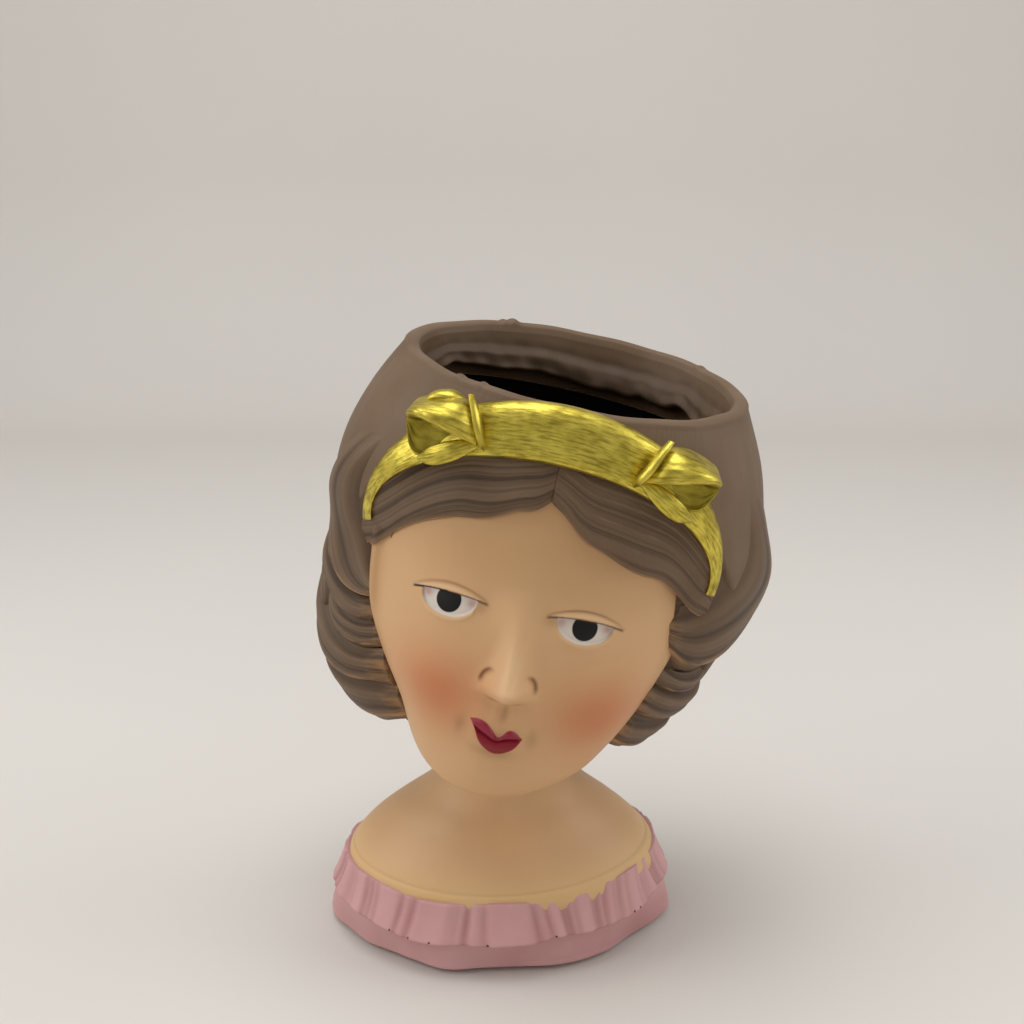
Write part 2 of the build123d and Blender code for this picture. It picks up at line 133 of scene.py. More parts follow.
# Uncoated paper: a flat tone with a faint wide mottling, no gloss.
paper_finish, tree, shader = finish_of("uncoated_paper")
where = add(tree, "TexCoord").outputs["Object"]
mottle = add(tree, "TexNoise", {"Vector": where, "Scale": 1 / 0.25, "Detail": 2.0})
tone = add(tree, "Mix", {0: mottle, 6: linear("#D8D4CF"), 7: linear(PAPER_COLOUR)}, data_type="RGBA")
wire(tree, shader, {"Base Color": tone.outputs[2], "Roughness": 0.9, "Specular IOR Level": 0.1})
paper_mesh.materials.append(paper_finish)

world = bpy.data.worlds.new("studio")
world.use_nodes = True
bpy.context.scene.world = world
world.node_tree.nodes["Background"].inputs["Color"].default_value = linear(WORLD_COLOUR)
world.node_tree.nodes["Background"].inputs["Strength"].default_value = WORLD_LIGHT

for name, place, aim, size, watts in SOFT_BOXES:
    box = bpy.data.objects.new(name, bpy.data.lights.new(name, "AREA"))
    box.data.shape = "SQUARE"
    box.data.size = size / 1000
    box.data.energy = watts
    box.location = np.array(place) / 1000
    back = np.array(place) - np.array(aim)
    box.rotation_euler = (np.arccos(back[2] / np.linalg.norm(back)), 0, np.arctan2(back[0], -back[1]))
    bpy.context.scene.collection.objects.link(box)

# Base: a bare resin plate closes the hollow dress, a thin foam pad under it grips the table, and a
# moulded rubber plug sits in the drain hole. All three are the solids themselves.

# Cast polyester resin, unpainted: chalky, slightly mottled, with fine casting bubbles.
resin_finish, tree, shader = finish_of("bare_cast_resin")
where = add(tree, "TexCoord").outputs["Object"]
cloud = add(tree, "TexNoise", {"Vector": where, "Scale": 1 / 0.009, "Detail": 3.0})
tone = add(tree, "Mix", {0: cloud, 6: linear("#BDB3A4"), 7: linear("#D8CFC2")}, data_type="RGBA")
wire(tree, shader, {"Base Color": tone.outputs[2]})
bubbles = add(tree, "TexVoronoi", {"Vector": where, "Scale": 1 / 0.0022})
dents = add(tree, "MapRange", {0: bubbles.outputs["Distance"], 1: 0.0, 2: 0.25, 3: 0.0, 4: 1.0})
relief = add(tree, "Bump", {"Height": dents, "Strength": 0.3, "Distance": 0.0003})
wire(tree, shader, {"Normal": relief, "Roughness": 0.7})

# Closed-cell foam rubber: dark, matt, with cells about half a millimetre across.
foam_finish, tree, shader = finish_of("closed_cell_foam")
where = add(tree, "TexCoord").outputs["Object"]
cells = add(tree, "TexVoronoi", {"Vector": where, "Scale": 1 / 0.0006})
tone = add(tree, "Mix", {0: cells.outputs["Distance"], 6: linear("#1C1C1D"), 7: linear("#3A3A3B")}, data_type="RGBA")
wire(tree, shader, {"Base Color": tone.outputs[2]})
relief = add(tree, "Bump", {"Height": cells.outputs["Distance"], "Strength": 0.5, "Distance": 0.0002})
wire(tree, shader, {"Normal": relief, "Roughness": 0.95})

# Moulded natural rubber, black: a faint bloom and a satin sheen.
rubber_finish, tree, shader = finish_of("moulded_rubber")
where = add(tree, "TexCoord").outputs["Object"]
bloom = add(tree, "TexNoise", {"Vector": where, "Scale": 1 / 0.003, "Detail": 4.0})
tone = add(tree, "Mix", {0: bloom, 6: linear("#121212"), 7: linear("#2B2A29")}, data_type="RGBA")
wire(tree, shader, {"Base Color": tone.outputs[2]})
gloss = add(tree, "MapRange", {0: bloom, 3: 0.5, 4: 0.75})
wire(tree, shader, {"Roughness": gloss})

for node, finish in (("base_plate", resin_finish), ("base_pad", foam_finish), ("drain_plug", rubber_finish)):
    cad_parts[node].data.materials.clear()
    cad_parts[node].data.materials.append(finish)

# Dress: the cast pink foot of the planter. Its hem runs in and out in soft folds and the cloth
# draws in to the shoulders under the frill. Painted in one coat of matt pink.

HEM_FOLD_TURNS = (-90, -78, -65, -50, -38, -28, -15, -6, 3, 20, 38, 55, 72, 88, 110, 135, 160, 185, 210, 240, 262, 270)
HEM_FOLDS = (1.0, 0.99, 0.955, 0.972, 0.972, 1.01, 1.075, 1.012, 0.988, 1.012, 0.965, 0.9, 0.935, 1.0,
             0.985, 1.02, 0.975, 1.015, 0.98, 1.015, 0.985, 1.0)
DRESS_LEVELS = (1.0, 1.4, 3.0, 6.0, 9.5, 13.0, 16.5, 19.0)
DRESS_HALF_WIDTHS = (42.2, 43.0, 43.2, 42.6, 41.4, 39.6, 37.8, 36.6)
DRESS_FRONTS = (25.3, 26.0, 26.3, 26.8, 27.3, 27.2, 26.6, 26.0)
DRESS_BACKS = (30.3, 31.0, 31.3, 31.4, 31.3, 30.4, 29.2, 28.4)


def oval(turn, half_width, front, back, middle=0.0):
    """A point of a level oval: x is half_width sin(turn), y goes from -front at 0 to back at half a turn."""
    return middle + half_width * np.sin(turn), (back - front) / 2 - (front + back) / 2 * np.cos(turn)


def skin(name, points, finish, ring=False, **marks):
    """A closed mesh over a grid of points in mm. Each row of points is a loop. The rows join up in a ring,
    or the first and last close in a fan on their own mean point. Marks are one number per point, kept
    as attributes. The faces are turned so that the volume inside comes out positive."""
    rows, columns = points.shape[:2]
    index = np.arange(rows * columns).reshape(rows, columns)
    low, high = (index, np.roll(index, -1, 0)) if ring else (index[:-1], index[1:])
    quads = np.stack([low, np.roll(low, -1, 1), np.roll(high, -1, 1), high], -1).reshape(-1, 4)
    corners = points.reshape(-1, 3) / 1000
    fans = np.empty((0, 3), int)
    if not ring:
        corners = np.concatenate([corners, points[[0, -1]].mean(1) / 1000])
        first, last = np.full(columns, rows * columns), np.full(columns, rows * columns + 1)
        fans = np.concatenate([
            np.stack([np.roll(index[0], -1), index[0], first], -1),
            np.stack([index[-1], np.roll(index[-1], -1), last], -1),
        ])
    halves = np.concatenate([quads[:, [0, 1, 2]], quads[:, [0, 2, 3]], fans])
    a, b, c = corners[halves].transpose(1, 0, 2)
    if (a * np.cross(b, c)).sum() < 0:
        quads, fans = quads[:, ::-1], fans[:, ::-1]
    mesh = bpy.data.meshes.new(name)
    mesh.vertices.add(len(corners))
    mesh.vertices.foreach_set("co", corners.ravel())
    mesh.loops.add(quads.size + fans.size)
    mesh.loops.foreach_set("vertex_index", np.concatenate([quads.ravel(), fans.ravel()]).astype(np.int32))
    mesh.polygons.add(len(quads) + len(fans))
    starts = np.concatenate([np.arange(len(quads)) * 4, quads.size + np.arange(len(fans)) * 3])
    mesh.polygons.foreach_set("loop_start", starts.astype(np.int32))
    mesh.update(calc_edges=True)
    mesh.shade_smooth()
    for mark, values in marks.items():
        values = np.broadcast_to(values, (rows, columns))
        if not ring:
            values = np.concatenate([values.ravel(), values[[0, -1]].mean(1)])
        mesh.attributes.new(mark, "FLOAT", "POINT").data.foreach_set("value", np.ascontiguousarray(values, np.float32).ravel())
    mesh.materials.append(finish)
    piece = bpy.data.objects.new(name, mesh)
    bpy.context.scene.collection.objects.link(piece)
    return piece


def settle(piece, slot, *nodes):
    """Fixes a piece to the planter and hides the solids that it stands for. The paint slot is not used."""
    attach(piece, "planter")
    if nodes:
        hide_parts(*nodes)


def painted(tree, base, coats):
    """Coats of paint over a base colour: each coat is a mask from 0 to 1 and the colour where it is 1."""
    colour = linear(base)
    for mask, coat in coats:
        colour = add(tree, "Mix", {0: mask, 6: colour, 7: linear(coat)}, data_type="RGBA").outputs[2]
    return colour


# Matt acrylic paint on cast resin, pink: a little uneven in tone, slight tooth, and painted shade that darkens the
# folds, the frill's grooves and its inner face.
pink_finish, tree, shader = finish_of("matt_pink_acrylic")
where = add(tree, "TexCoord").outputs["Object"]
cloud = add(tree, "TexNoise", {"Vector": where, "Scale": 1 / 0.014, "Detail": 3.0})
patch = add(tree, "MapRange", {0: cloud, 1: 0.35, 2: 0.7})
# The fold mark is painted shade, a darker pink in folds and recesses.
fold = add(tree, "Attribute", attribute_name="fold")
speck = add(tree, "Attribute", attribute_name="speck")
chip = add(tree, "MapRange", {0: speck.outputs["Fac"], 1: 0.4, 2: 0.6})
wire(tree, shader, {"Base Color": painted(tree, "#D0A09F", ((patch, "#C89493"), (fold.outputs["Fac"], "#A06B69"), (chip, "#4A2C2A")))})
tooth = add(tree, "TexNoise", {"Vector": where, "Scale": 1 / 0.0009, "Detail": 2.0})
relief = add(tree, "Bump", {"Height": tooth, "Strength": 0.12, "Distance": 0.0003})
wire(tree, shader, {"Normal": relief, "Roughness": 0.52})

turn = np.radians(np.linspace(-90, 270, 361)[:-1])
folds = smooth(np.degrees(turn), HEM_FOLD_TURNS, HEM_FOLDS)
# The profile goes up the outside, over the top and down the inside of the wall.
level = np.concatenate([np.linspace(1.0, 1.4, 3), np.linspace(1.7, 19.0, 40)])
reach = np.clip((13.0 - level) / 12.0, 0, 1) ** 0.8
share = 1 + (folds[:, None] - 1) * reach
outer_x, outer_y = oval(
    turn[:, None],
    smooth(level, DRESS_LEVELS, DRESS_HALF_WIDTHS) * share,
    smooth(level, DRESS_LEVELS, DRESS_FRONTS) * share,
    smooth(level, DRESS_LEVELS, DRESS_BACKS) * share,
)
inner_level = np.array([19.0, 10.0, 5.05, 1.0])
inner_wall = np.array([2.6, 4.0, 6.5, 6.5])
inner_x, inner_y = oval(
    turn[:, None],
    smooth(inner_level, DRESS_LEVELS, DRESS_HALF_WIDTHS) - inner_wall,
    smooth(inner_level, DRESS_LEVELS, DRESS_FRONTS) - inner_wall,
    smooth(inner_level, DRESS_LEVELS, DRESS_BACKS) - inner_wall,
)
height = np.broadcast_to(np.concatenate([level, inner_level]), (len(turn), len(level) + 4))
dress_points = np.stack([np.hstack([outer_x, inner_x]), np.hstack([outer_y, inner_y]), height], -1)
# Painted shade: the hem is darker where its folds turn in, most near the bottom.
dress_fold = np.hstack([np.clip((1 - folds[:, None]) * 4 * reach, 0, 0.5), np.zeros((len(turn), 4))])
dress = skin("dress_hem", dress_points, pink_finish, ring=True, fold=dress_fold)
settle(dress, "painted_pink", "dress_base")

# Frill: the gathered edge of the off-shoulder neckline, cast with the dress. Flat panels lie between
# clusters of narrow folds, the top is scalloped and the lower edge hangs out over the skirt.

FRILL_HALF_WIDTH, FRILL_FRONT, FRILL_BACK = 39.0, 28.0, 30.4
FRILL_TOP, FRILL_BOTTOM = 20.2, 11.2
FRILL_FLARE = 3.6
FRILL_THICKNESS = 2.4
FRILL_TILT, FRILL_ROLL = 0.035, 0.035
FOLD_CLUSTERS = (-96, -80, -66, -52, -33, -14, -7, 13, 24, 37, 47, 60, 72, 92, 108, 126, 140, 158, 176, 194, 212, 231, 247)
FOLD_WIDTH = 1.5
rng = np.random.default_rng(7)

turn = np.radians(np.linspace(-110, 250, 1201)[:-1])
degrees = np.degrees(turn)
centres = np.concatenate([np.array(FOLD_CLUSTERS) + shift for shift in (-2.6, 0.0, 2.9)]) + rng.uniform(-0.8, 0.8, 3 * len(FOLD_CLUSTERS))
depths = rng.uniform(0.25, 1.0, len(centres))
away = (degrees[:, None] - centres + 180) % 360 - 180
grooves = np.clip((depths * np.exp(-(away / FOLD_WIDTH) ** 2)).sum(1), 0, 1.1)
panel_edges = np.sort(np.array(FOLD_CLUSTERS, float))
panel = np.searchsorted(panel_edges, degrees)
panel_proud = rng.uniform(-0.35, 0.45, len(panel_edges) + 1)
panel_proud[-1] = panel_proud[0]
panels = panel_proud[panel]
kernel = np.hanning(31) / np.hanning(31).sum()
panels = np.convolve(np.concatenate([panels[-15:], panels, panels[:15]]), kernel, "valid")
fall = np.linspace(0, 1, 26)
top_edge = FRILL_TOP + 0.35 * np.cos(degrees / 8.3) - 0.2 * np.clip(grooves, 0, 1) + 0.3 * panels
low_edge = FRILL_BOTTOM + 0.4 * np.sin(degrees / 11.0 + 1) - 0.5 * panels
swell = panels[:, None] - grooves[:, None] * (0.3 + 0.6 * np.sin(np.pi * np.clip(fall * 0.85 + 0.1, 0, 1)))
lean = FRILL_FLARE * fall ** 1.3 - 0.7 * np.exp(-((fall - 1) / 0.03) ** 2) - 0.25 * np.exp(-(fall / 0.035) ** 2)
# The folds slant a little, here one way and there the other.
face_turn = turn[:, None] + np.radians(2.2) * np.sin(5 * turn + 0.5)[:, None] * fall
face_x, face_y = oval(
    face_turn, FRILL_HALF_WIDTH + lean + swell, FRILL_FRONT + lean + swell, FRILL_BACK + lean + swell)
face_z = top_edge[:, None] + (low_edge - top_edge)[:, None] * fall
rear = np.array([0.97, 0.8, 0.4, 0.0])
rear_lean = FRILL_FLARE * rear ** 1.3 - FRILL_THICKNESS
rear_x, rear_y = oval(turn[:, None], FRILL_HALF_WIDTH + rear_lean, FRILL_FRONT + rear_lean, FRILL_BACK + rear_lean)
rear_z = top_edge[:, None] + (low_edge - top_edge)[:, None] * rear - 0.1
frill_points = np.stack([np.hstack([face_x, rear_x]), np.hstack([face_y, rear_y]), np.hstack([face_z, rear_z])], -1)
# The neckline rides up at the sides and dips in front.
frill_points[..., 2] += (
    FRILL_TILT * (frill_points[..., 1] - 2) + FRILL_ROLL * frill_points[..., 0]
    + 0.0012 * np.abs(frill_points[..., 0]) ** 1.9)
specks = np.array([-38.0, -29.0, -21.0, -4.0, 17.0, 52.0, 55.0])
speck_gap = np.abs(degrees[:, None] - specks).min(1)
speck = np.exp(-(speck_gap / 0.55) ** 2)[:, None] * np.exp(-((fall - 0.93) / 0.035) ** 2)
# Painted shade: darker in the frill's grooves, more so lower down, and on its inner face.
frill_fold = np.clip(grooves[:, None] * (0.35 + 0.3 * fall), 0, 0.7)
pad = np.zeros((len(turn), 4))
frill = skin(
    "neckline_frill", frill_points, pink_finish, ring=True,
    fold=np.hstack([frill_fold, pad + 0.8]), speck=np.hstack([speck, pad]),
)
settle(frill, "painted_pink", "dress_ruffle")

# Bust: bare shoulders and neck in one hollow casting, set down into the dress. A thin skin-coloured
# lip runs round above the frill, and the paint is sprayed yellower towards it.

BUST_LEVELS = (8.0, 15.0, 21.0, 26.5, 31.8, 37.0, 43.0, 50.0, 58.0)
BUST_HALF_WIDTHS = (34.7, 38.2, 38.0, 34.0, 27.8, 20.5, 15.7, 14.9, 15.1)
BUST_FRONTS = (23.1, 26.8, 27.0, 24.0, 19.8, 16.6, 15.7, 15.6, 15.6)
BUST_BACKS = (27.0, 29.3, 29.2, 26.0, 21.8, 18.8, 17.6, 17.6, 17.6)
NECK_X = 1.9
LIP_HEIGHT = 21.9

turn = np.radians(np.linspace(0, 360, 361)[:-1])
level = np.linspace(8.0, 58.0, 230)[:, None]
bust_x, bust_y = oval(
    turn, smooth(level[:, 0], BUST_LEVELS, BUST_HALF_WIDTHS)[:, None], smooth(level[:, 0], BUST_LEVELS, BUST_FRONTS)[:, None],
    smooth(level[:, 0], BUST_LEVELS, BUST_BACKS)[:, None], NECK_X * np.clip((level - 8) / 35, 0, 1))
lip_line = LIP_HEIGHT + FRILL_TILT * (bust_y - 2) + FRILL_ROLL * bust_x + 0.0012 * np.abs(bust_x) ** 1.9
above = level - lip_line
lip = 0.3 / (1 + np.exp(above / 0.16)) - 0.1 * np.exp(-((above - 0.35) / 0.3) ** 2)
front = np.clip(np.cos(turn), 0, 1)
collar_bones = 0.55 * np.exp(-((level - 33.5 - 0.06 * np.abs(bust_x)) / 2.6) ** 2) * np.exp(-((np.abs(bust_x - NECK_X) - 13) / 7) ** 2) * front
throat = -0.9 * np.exp(-((level - 35) / 3.5) ** 2) * np.exp(-((bust_x - NECK_X) / 4.5) ** 2) * front
proud = lip + collar_bones + throat
bust_points = np.stack(np.broadcast_arrays(bust_x + proud * np.sin(turn), bust_y - proud * np.cos(turn), level), -1)

# Matt acrylic paint on cast resin, skin: warm and even, with sprayed yellow and rose, satin-matt. A thin darker brown
# line in the groove just above the lip is painted shade.
skin_finish, tree, shader = finish_of("matt_skin_acrylic")
where = add(tree, "TexCoord").outputs["Object"]
cloud = add(tree, "TexNoise", {"Vector": where, "Scale": 1 / 0.018, "Detail": 3.0})
patch = add(tree, "MapRange", {0: cloud, 1: 0.4, 2: 0.75, 4: 0.6})
yellow = add(tree, "Attribute", attribute_name="yellow")
crease = add(tree, "Attribute", attribute_name="crease")
wire(tree, shader, {"Base Color": painted(tree, "#D0A678", (
        (patch, "#C99E6E"), (yellow.outputs["Fac"], "#DCB67E"), (crease.outputs["Fac"], "#9A6C45")))})
tooth = add(tree, "TexNoise", {"Vector": where, "Scale": 1 / 0.001, "Detail": 2.0})
relief = add(tree, "Bump", {"Height": tooth, "Strength": 0.08, "Distance": 0.0003})
wire(tree, shader, {"Normal": relief, "Roughness": 0.5})

bust = skin(
    "shoulders_and_neck", bust_points, skin_finish,
    yellow=np.clip(1.05 - (above + 1) / 7.0, 0, 1) ** 1.5 * 0.75,
    # Painted shade along the groove above the lip.
    crease=np.exp(-((above - 0.3) / 0.22) ** 2) * 0.18,
)
settle(bust, "painted_skin", "bust")

# Head: face and skull cast in one as the pot. The egg of the head carries the modelled brow, eyes,
# nose, lips and chin. The inside is the pot, painted near black as painted shade, with a drain hole down through the
# neck.

HEAD_CENTRE = np.array([6.2, 0.0, 85.6])
HEAD_ROLL, HEAD_YAW = np.radians(12.5), np.radians(-4.0)
# Rows of height, half-width, reach to the front and reach to the back, from the chin up.
HEAD_OUTSIDE = np.array([
    (-36.75, 0.1, 19.1, -18.9), (-36.6, 4.5, 24.8, -13.2), (-36.0, 8.9, 30.0, -8.0), (-34.6, 14.7, 34.0, 3.0),
    (-29.9, 21.8, 37.0, 13.0), (-23.0, 27.3, 39.0, 22.0), (-13.0, 33.0, 40.0, 30.0), (-1.8, 36.8, 39.8, 35.0),
    (10.1, 38.5, 39.5, 37.0), (23.9, 39.2, 39.5, 37.5), (35.9, 39.0, 37.8, 36.9), (44.8, 38.5, 35.2, 36.1),
    (46.0, 37.4, 34.1, 35.0),
])
HEAD_INSIDE = np.array([
    (46.0, 36.2, 32.9, 33.8), (44.9, 35.3, 31.9, 32.9), (35.0, 35.2, 33.8, 33.0), (22.0, 35.2, 35.5, 33.5),
    (10.0, 34.5, 35.5, 33.0), (-1.8, 32.5, 35.5, 30.5), (-12.0, 27.5, 33.0, 24.0), (-19.0, 19.0, 26.0, 15.0),
    (-23.0, 11.0, 12.0, 12.0), (-24.0, 6.6, 6.0, 7.6), (-24.6, 6.0, 5.0, 7.0), (-32.0, 6.0, 5.0, 7.0), (-32.6, 0.1, -0.9, 1.1),
])
FACE_HEIGHTS = (-24.0, 14.0, 26.0)
FACE_STEP = 0.24
FACE_TURN, TEMPLE_TURN = 42.0, 70.0
# Side, distance from the middle, height, and how far the outer corner falls for each mm.
EYE_PLACES = ((-1, 16.5, 7.9, 0.105), (1, 13.3, 8.9, 0.06))
LIPS_PLACE = (0.4, -18.5)
LIPS_SIZE = (1.08, 1.27)
UPPER_LIP = ((-6.3, -4.9, -2.9, -1.1, 0.0, 0.73, 1.4, 3.0, 4.97), (2.26, 2.66, 2.37, 1.26, 0.33, 0.59, 1.5, 1.87, 0.46))
LIP_LINE = ((-6.3, -4.5, -2.6, 0.1, 1.7, 4.97), (2.26, 0.95, 0.28, -0.41, 0.16, 0.46))
LOWER_LIP = ((-6.3, -4.9, -3.8, -1.9, 0.77, 2.4, 4.1, 4.97), (2.26, 0.64, -1.27, -3.0, -3.5, -2.9, -1.24, 0.46))
NOSE_HEIGHTS = (-12.5, -11.0, -9.8, -8.6, -7.2, -5.0, -1.0, 3.0, 7.0, 11.0, 15.0)
NOSE_PROUD = (0.0, 0.3, 1.7, 4.7, 6.0, 5.7, 4.2, 2.7, 1.6, 0.8, 0.0)
NOSE_WIDTHS = (5.0, 4.8, 4.6, 4.4, 4.1, 3.7, 3.1, 2.9, 3.0, 3.4, 4.0)


def on_head(points):
    """Head points in the row frame: turned about the head's own upright, leaned to the side, then moved up."""
    lean = np.array([[np.cos(HEAD_ROLL), 0, np.sin(HEAD_ROLL)], [0, 1, 0], [-np.sin(HEAD_ROLL), 0, np.cos(HEAD_ROLL)]])
    yaw = np.array([[np.cos(HEAD_YAW), -np.sin(HEAD_YAW), 0], [np.sin(HEAD_YAW), np.cos(HEAD_YAW), 0], [0, 0, 1]])
    return points @ (lean @ yaw).T + HEAD_CENTRE


def along(rows):
    """Distance along the rows of a profile, by their height and width."""
    return np.concatenate([[0.0], np.cumsum(np.hypot(np.diff(rows[:, 0]), np.diff(rows[:, 1])))])


def hump(x, z, at_x, at_z, wide, tall):
    """A soft rounded rise: 1 at its centre, falling off as a Gaussian in x and z."""
    return np.exp(-((x - at_x) / wide) ** 2 - ((z - at_z) / tall) ** 2)


def rising(value, start, end):
    """0 before start, 1 after end, and a smooth cubic step between."""
    t = np.clip((value - start) / (end - start), 0, 1)
    return t * t * (3 - 2 * t)


outside_run = along(HEAD_OUTSIDE)
# The rows lie close between the mouth and the lids, and further apart elsewhere.
mouth_at, lids_at, brow_at = np.interp(FACE_HEIGHTS, HEAD_OUTSIDE[:, 0], outside_run)
outside_at = np.concatenate([
    np.linspace(0, mouth_at, 46, endpoint=False), np.arange(mouth_at, lids_at, FACE_STEP),
    np.linspace(lids_at, brow_at, 20, endpoint=False), np.linspace(brow_at, outside_run[-2], 10),
    np.linspace(outside_run[-2], outside_run[-1], 4)[1:]])
inside_run = along(HEAD_INSIDE)
inside_at = np.linspace(0, inside_run[-1], 46)
head_rows = np.concatenate([smooth(outside_at, outside_run, HEAD_OUTSIDE), smooth(inside_at, inside_run, HEAD_INSIDE)])
outside = (np.arange(len(head_rows)) < len(outside_at))[:, None]
turn = np.radians(np.concatenate([
    np.linspace(-TEMPLE_TURN, -FACE_TURN, 24)[:-1], np.linspace(-FACE_TURN, FACE_TURN, 233),
    np.linspace(FACE_TURN, TEMPLE_TURN, 24)[1:], np.linspace(TEMPLE_TURN, 360 - TEMPLE_TURN, 45)[1:-1]]))
z = np.broadcast_to(head_rows[:, :1], (len(head_rows), len(turn)))
x, y = oval(turn, head_rows[:, 1:2], head_rows[:, 2:3], head_rows[:, 3:4])

# Nose: a wedge from between the eyes to the tip, wings beside it and creases round them.
nose_wide = smooth(z, NOSE_HEIGHTS, NOSE_WIDTHS)
proud = smooth(z, NOSE_HEIGHTS, NOSE_PROUD) * np.exp(-np.abs(x / nose_wide) ** 2.1) + 0.8 * hump(x, z, 0.2, -6.8, 2.7, 2.3)
# The crease mark gathers painted shade: darker brown in the wing creases, nostrils, philtrum, lid folds, inner eye
# corners, dimples and the fold under the lips.
crease = np.zeros_like(x)
for side in (-1, 1):
    proud += 1.4 * hump(x, z, side * 3.6, -6.8, 1.9, 2.0)
    from_wing = np.hypot(x - side * 2.9, (z + 6.6) * 0.92)
    bearing = np.degrees(np.arctan2(z + 6.6, side * (x - side * 2.9)))
    arc = np.exp(-((from_wing - 3.1) / 0.42) ** 2) * rising(bearing, -20, 15) * (1 - rising(bearing, 50, 88))
    proud -= 0.75 * arc
    crease += 0.75 * arc
    nostril = hump(x, z, side * 2.1, -9.4, 1.2, 0.6)
    proud -= 0.9 * nostril
    crease += 0.7 * nostril
groove = hump(x, z, 0.9, -12.6, 0.9, 2.4)
proud += -0.45 * groove + 0.22 * hump(x, z, -1.2, -12.8, 0.8, 2.2) + 0.22 * hump(x, z, 3.0, -12.8, 0.8, 2.2)
crease += 0.28 * groove
ridge_light = hump(x, z, 0.2, -3.5, 1.7, 6.0)

# Eyes: a shallow socket, the ball's bulge, a rolled upper lid with a crease over it, a lower rim.
white = np.full_like(x, -9.0)
pupil = np.full_like(x, -9.0)
black_lash = np.zeros_like(x)
brown_lash = np.zeros_like(x)
# The lid mark is a paler coat: painted highlight on the nose ridge and the rolled upper lids, and pale paint on the
# lower eye rims.
lid = 1.3 * ridge_light
rosy = np.zeros_like(x)
for side, eye_x, eye_z, slant in EYE_PLACES:
    t = side * x - eye_x
    w = z - eye_z + slant * t
    share = np.clip(1 - (np.abs(t) / 8.9) ** 2, 0, 1)
    top_edge = 0.45 + 1.55 * share ** 0.9
    low_edge = 0.55 - 4.0 * np.sqrt(np.clip(1 - (t / 6.15) ** 2, 0, 1))
    opening = np.minimum(np.minimum(top_edge - w, w - low_edge), (6.2 - np.abs(t)) * 1.2)
    white = np.maximum(white, opening)
    pupil = np.maximum(pupil, np.minimum(2.85 - np.hypot(t * 1.03, w - 0.1), opening))
    proud += -1.3 * hump(t, w, -1.0, 1.5, 8.5, 5.5) - 0.8 * hump(t, w, -8.5, 0.5, 3.2, 4.0)
    proud += 1.75 * hump(t, w, 0.0, -0.4, 6.8, 4.6)
    inside = rising(opening, -0.05, 0.35)
    proud -= 0.65 * inside
    roll = np.exp(-((w - top_edge - 0.7 * share) / (0.2 + 0.55 * share)) ** 2) * share ** 0.5
    over = np.exp(-((w - top_edge - 1.6 * share - 0.15) / 0.3) ** 2) * share ** 0.5
    proud += 0.55 * roll - 0.35 * over
    lid += roll
    crease += 0.5 * over
    rim = np.exp(-((w - low_edge + 0.55) / 0.45) ** 2) * (np.abs(t) < 6.0)
    proud += 0.22 * rim
    lid += 0.5 * rim
    line = 1 - rising(np.abs(w - top_edge + 0.05), 0.16, 0.4)
    line = line * rising(t, -8.8, -8.0) * (1 - rising(t, 8.0, 8.8))
    outer_half = rising(t, 0.2, 0.9) if side < 0 else rising(-t, 4.4, 5.0) * 0.6
    black_lash += line * outer_half
    brown_lash += line * (1 - outer_half)
    crease += 0.25 * hump(t, w, -7.2, 0.0, 1.8, 1.3)
    rosy += hump(t, w, 4.9, 0.4, 1.1, 1.0) + 0.7 * hump(t, w, -5.0, 0.3, 1.0, 1.0)
    proud += 0.7 * hump(t, z, 0.0, 19.0, 9.0, 4.0)

# Mouth: a soft muzzle, two full lips parted by a line, dimples at the corners and a fold below.
t, w = (x - LIPS_PLACE[0]) / LIPS_SIZE[0], (z - LIPS_PLACE[1]) / LIPS_SIZE[1]
top_edge, line, low_edge = (smooth(t, *edge) for edge in (UPPER_LIP, LIP_LINE, LOWER_LIP))
across = np.minimum(t + 6.25, 4.95 - t)
lips = np.minimum(np.minimum(top_edge - w, w - low_edge), across)
lower = np.minimum(line - w, lips)
proud += 1.5 * hump(x, z, 0.3, -17.0, 7.5, 5.0)
full_upper = np.clip((w - line) / np.maximum(top_edge - line, 0.2), 0, 1)
full_lower = np.clip((line - w) / np.maximum(line - low_edge, 0.2), 0, 1)
inside = rising(lips, -0.2, 0.5)
proud += inside * (0.35 + 0.65 * np.sqrt(np.clip(full_upper * (1 - full_upper) * 4, 0, 1)) * (w > line)
                   + 0.95 * np.sqrt(np.clip(full_lower * (1 - full_lower) * 4, 0, 1)) * (w <= line))
proud -= 0.35 * np.exp(-((w - line) / 0.25) ** 2) * rising(across, -0.2, 0.4)
for dimple_x, dimple_z in ((-7.6, -18.4), (7.4, -18.2)):
    dent = hump(x, z, dimple_x, dimple_z, 1.6, 2.6)
    proud -= 0.6 * dent
    crease += 0.24 * dent
proud += 1.0 * hump(x, z, 0.5, -28.0, 7.5, 4.2) - 0.8 * hump(x, z, 0.5, -22.6, 5.0, 1.5)
crease += 0.3 * hump(x, z, 0.5, -22.6, 4.0, 1.0)
blush = np.zeros_like(x)
for side, blush_x, blush_z in ((-1, -14.8, -12.2), (1, 21.0, -12.0)):
    proud += 0.9 * hump(x, z, side * 17.0, -9.5, 9.0, 8.0)
    blush += hump(x, z, blush_x, blush_z, 10.5, 9.5)

face = rising(np.cos(turn), 0.05, 0.35) * outside
# The jaw leans to the right of the chin, and the temples are square-cornered.
away = np.abs((np.degrees(turn) + 180) % 360 - 180)
jaw = np.exp(-((z + 24) / 10) ** 2) * rising(away, 8, 75) * (1 - rising(away, 95, 125)) * outside
temple = np.exp(-((away - 73) / 10) ** 2) * rising(z, -14, 2) * (1 - rising(z, 20, 30)) * outside * np.where(x < 0, 6.5, 2.5)
head_points = on_head(np.stack([
    x * (1 - 0.03 * jaw) + 1.5 * jaw - 1.0 * rising(-z, 28, 36) * face, y - (proud + temple) * face,
    z - 1.3 * rising(-z, 20, 36) * face], -1))
hairline = rising(away, 56, 72) * np.ones_like(x)
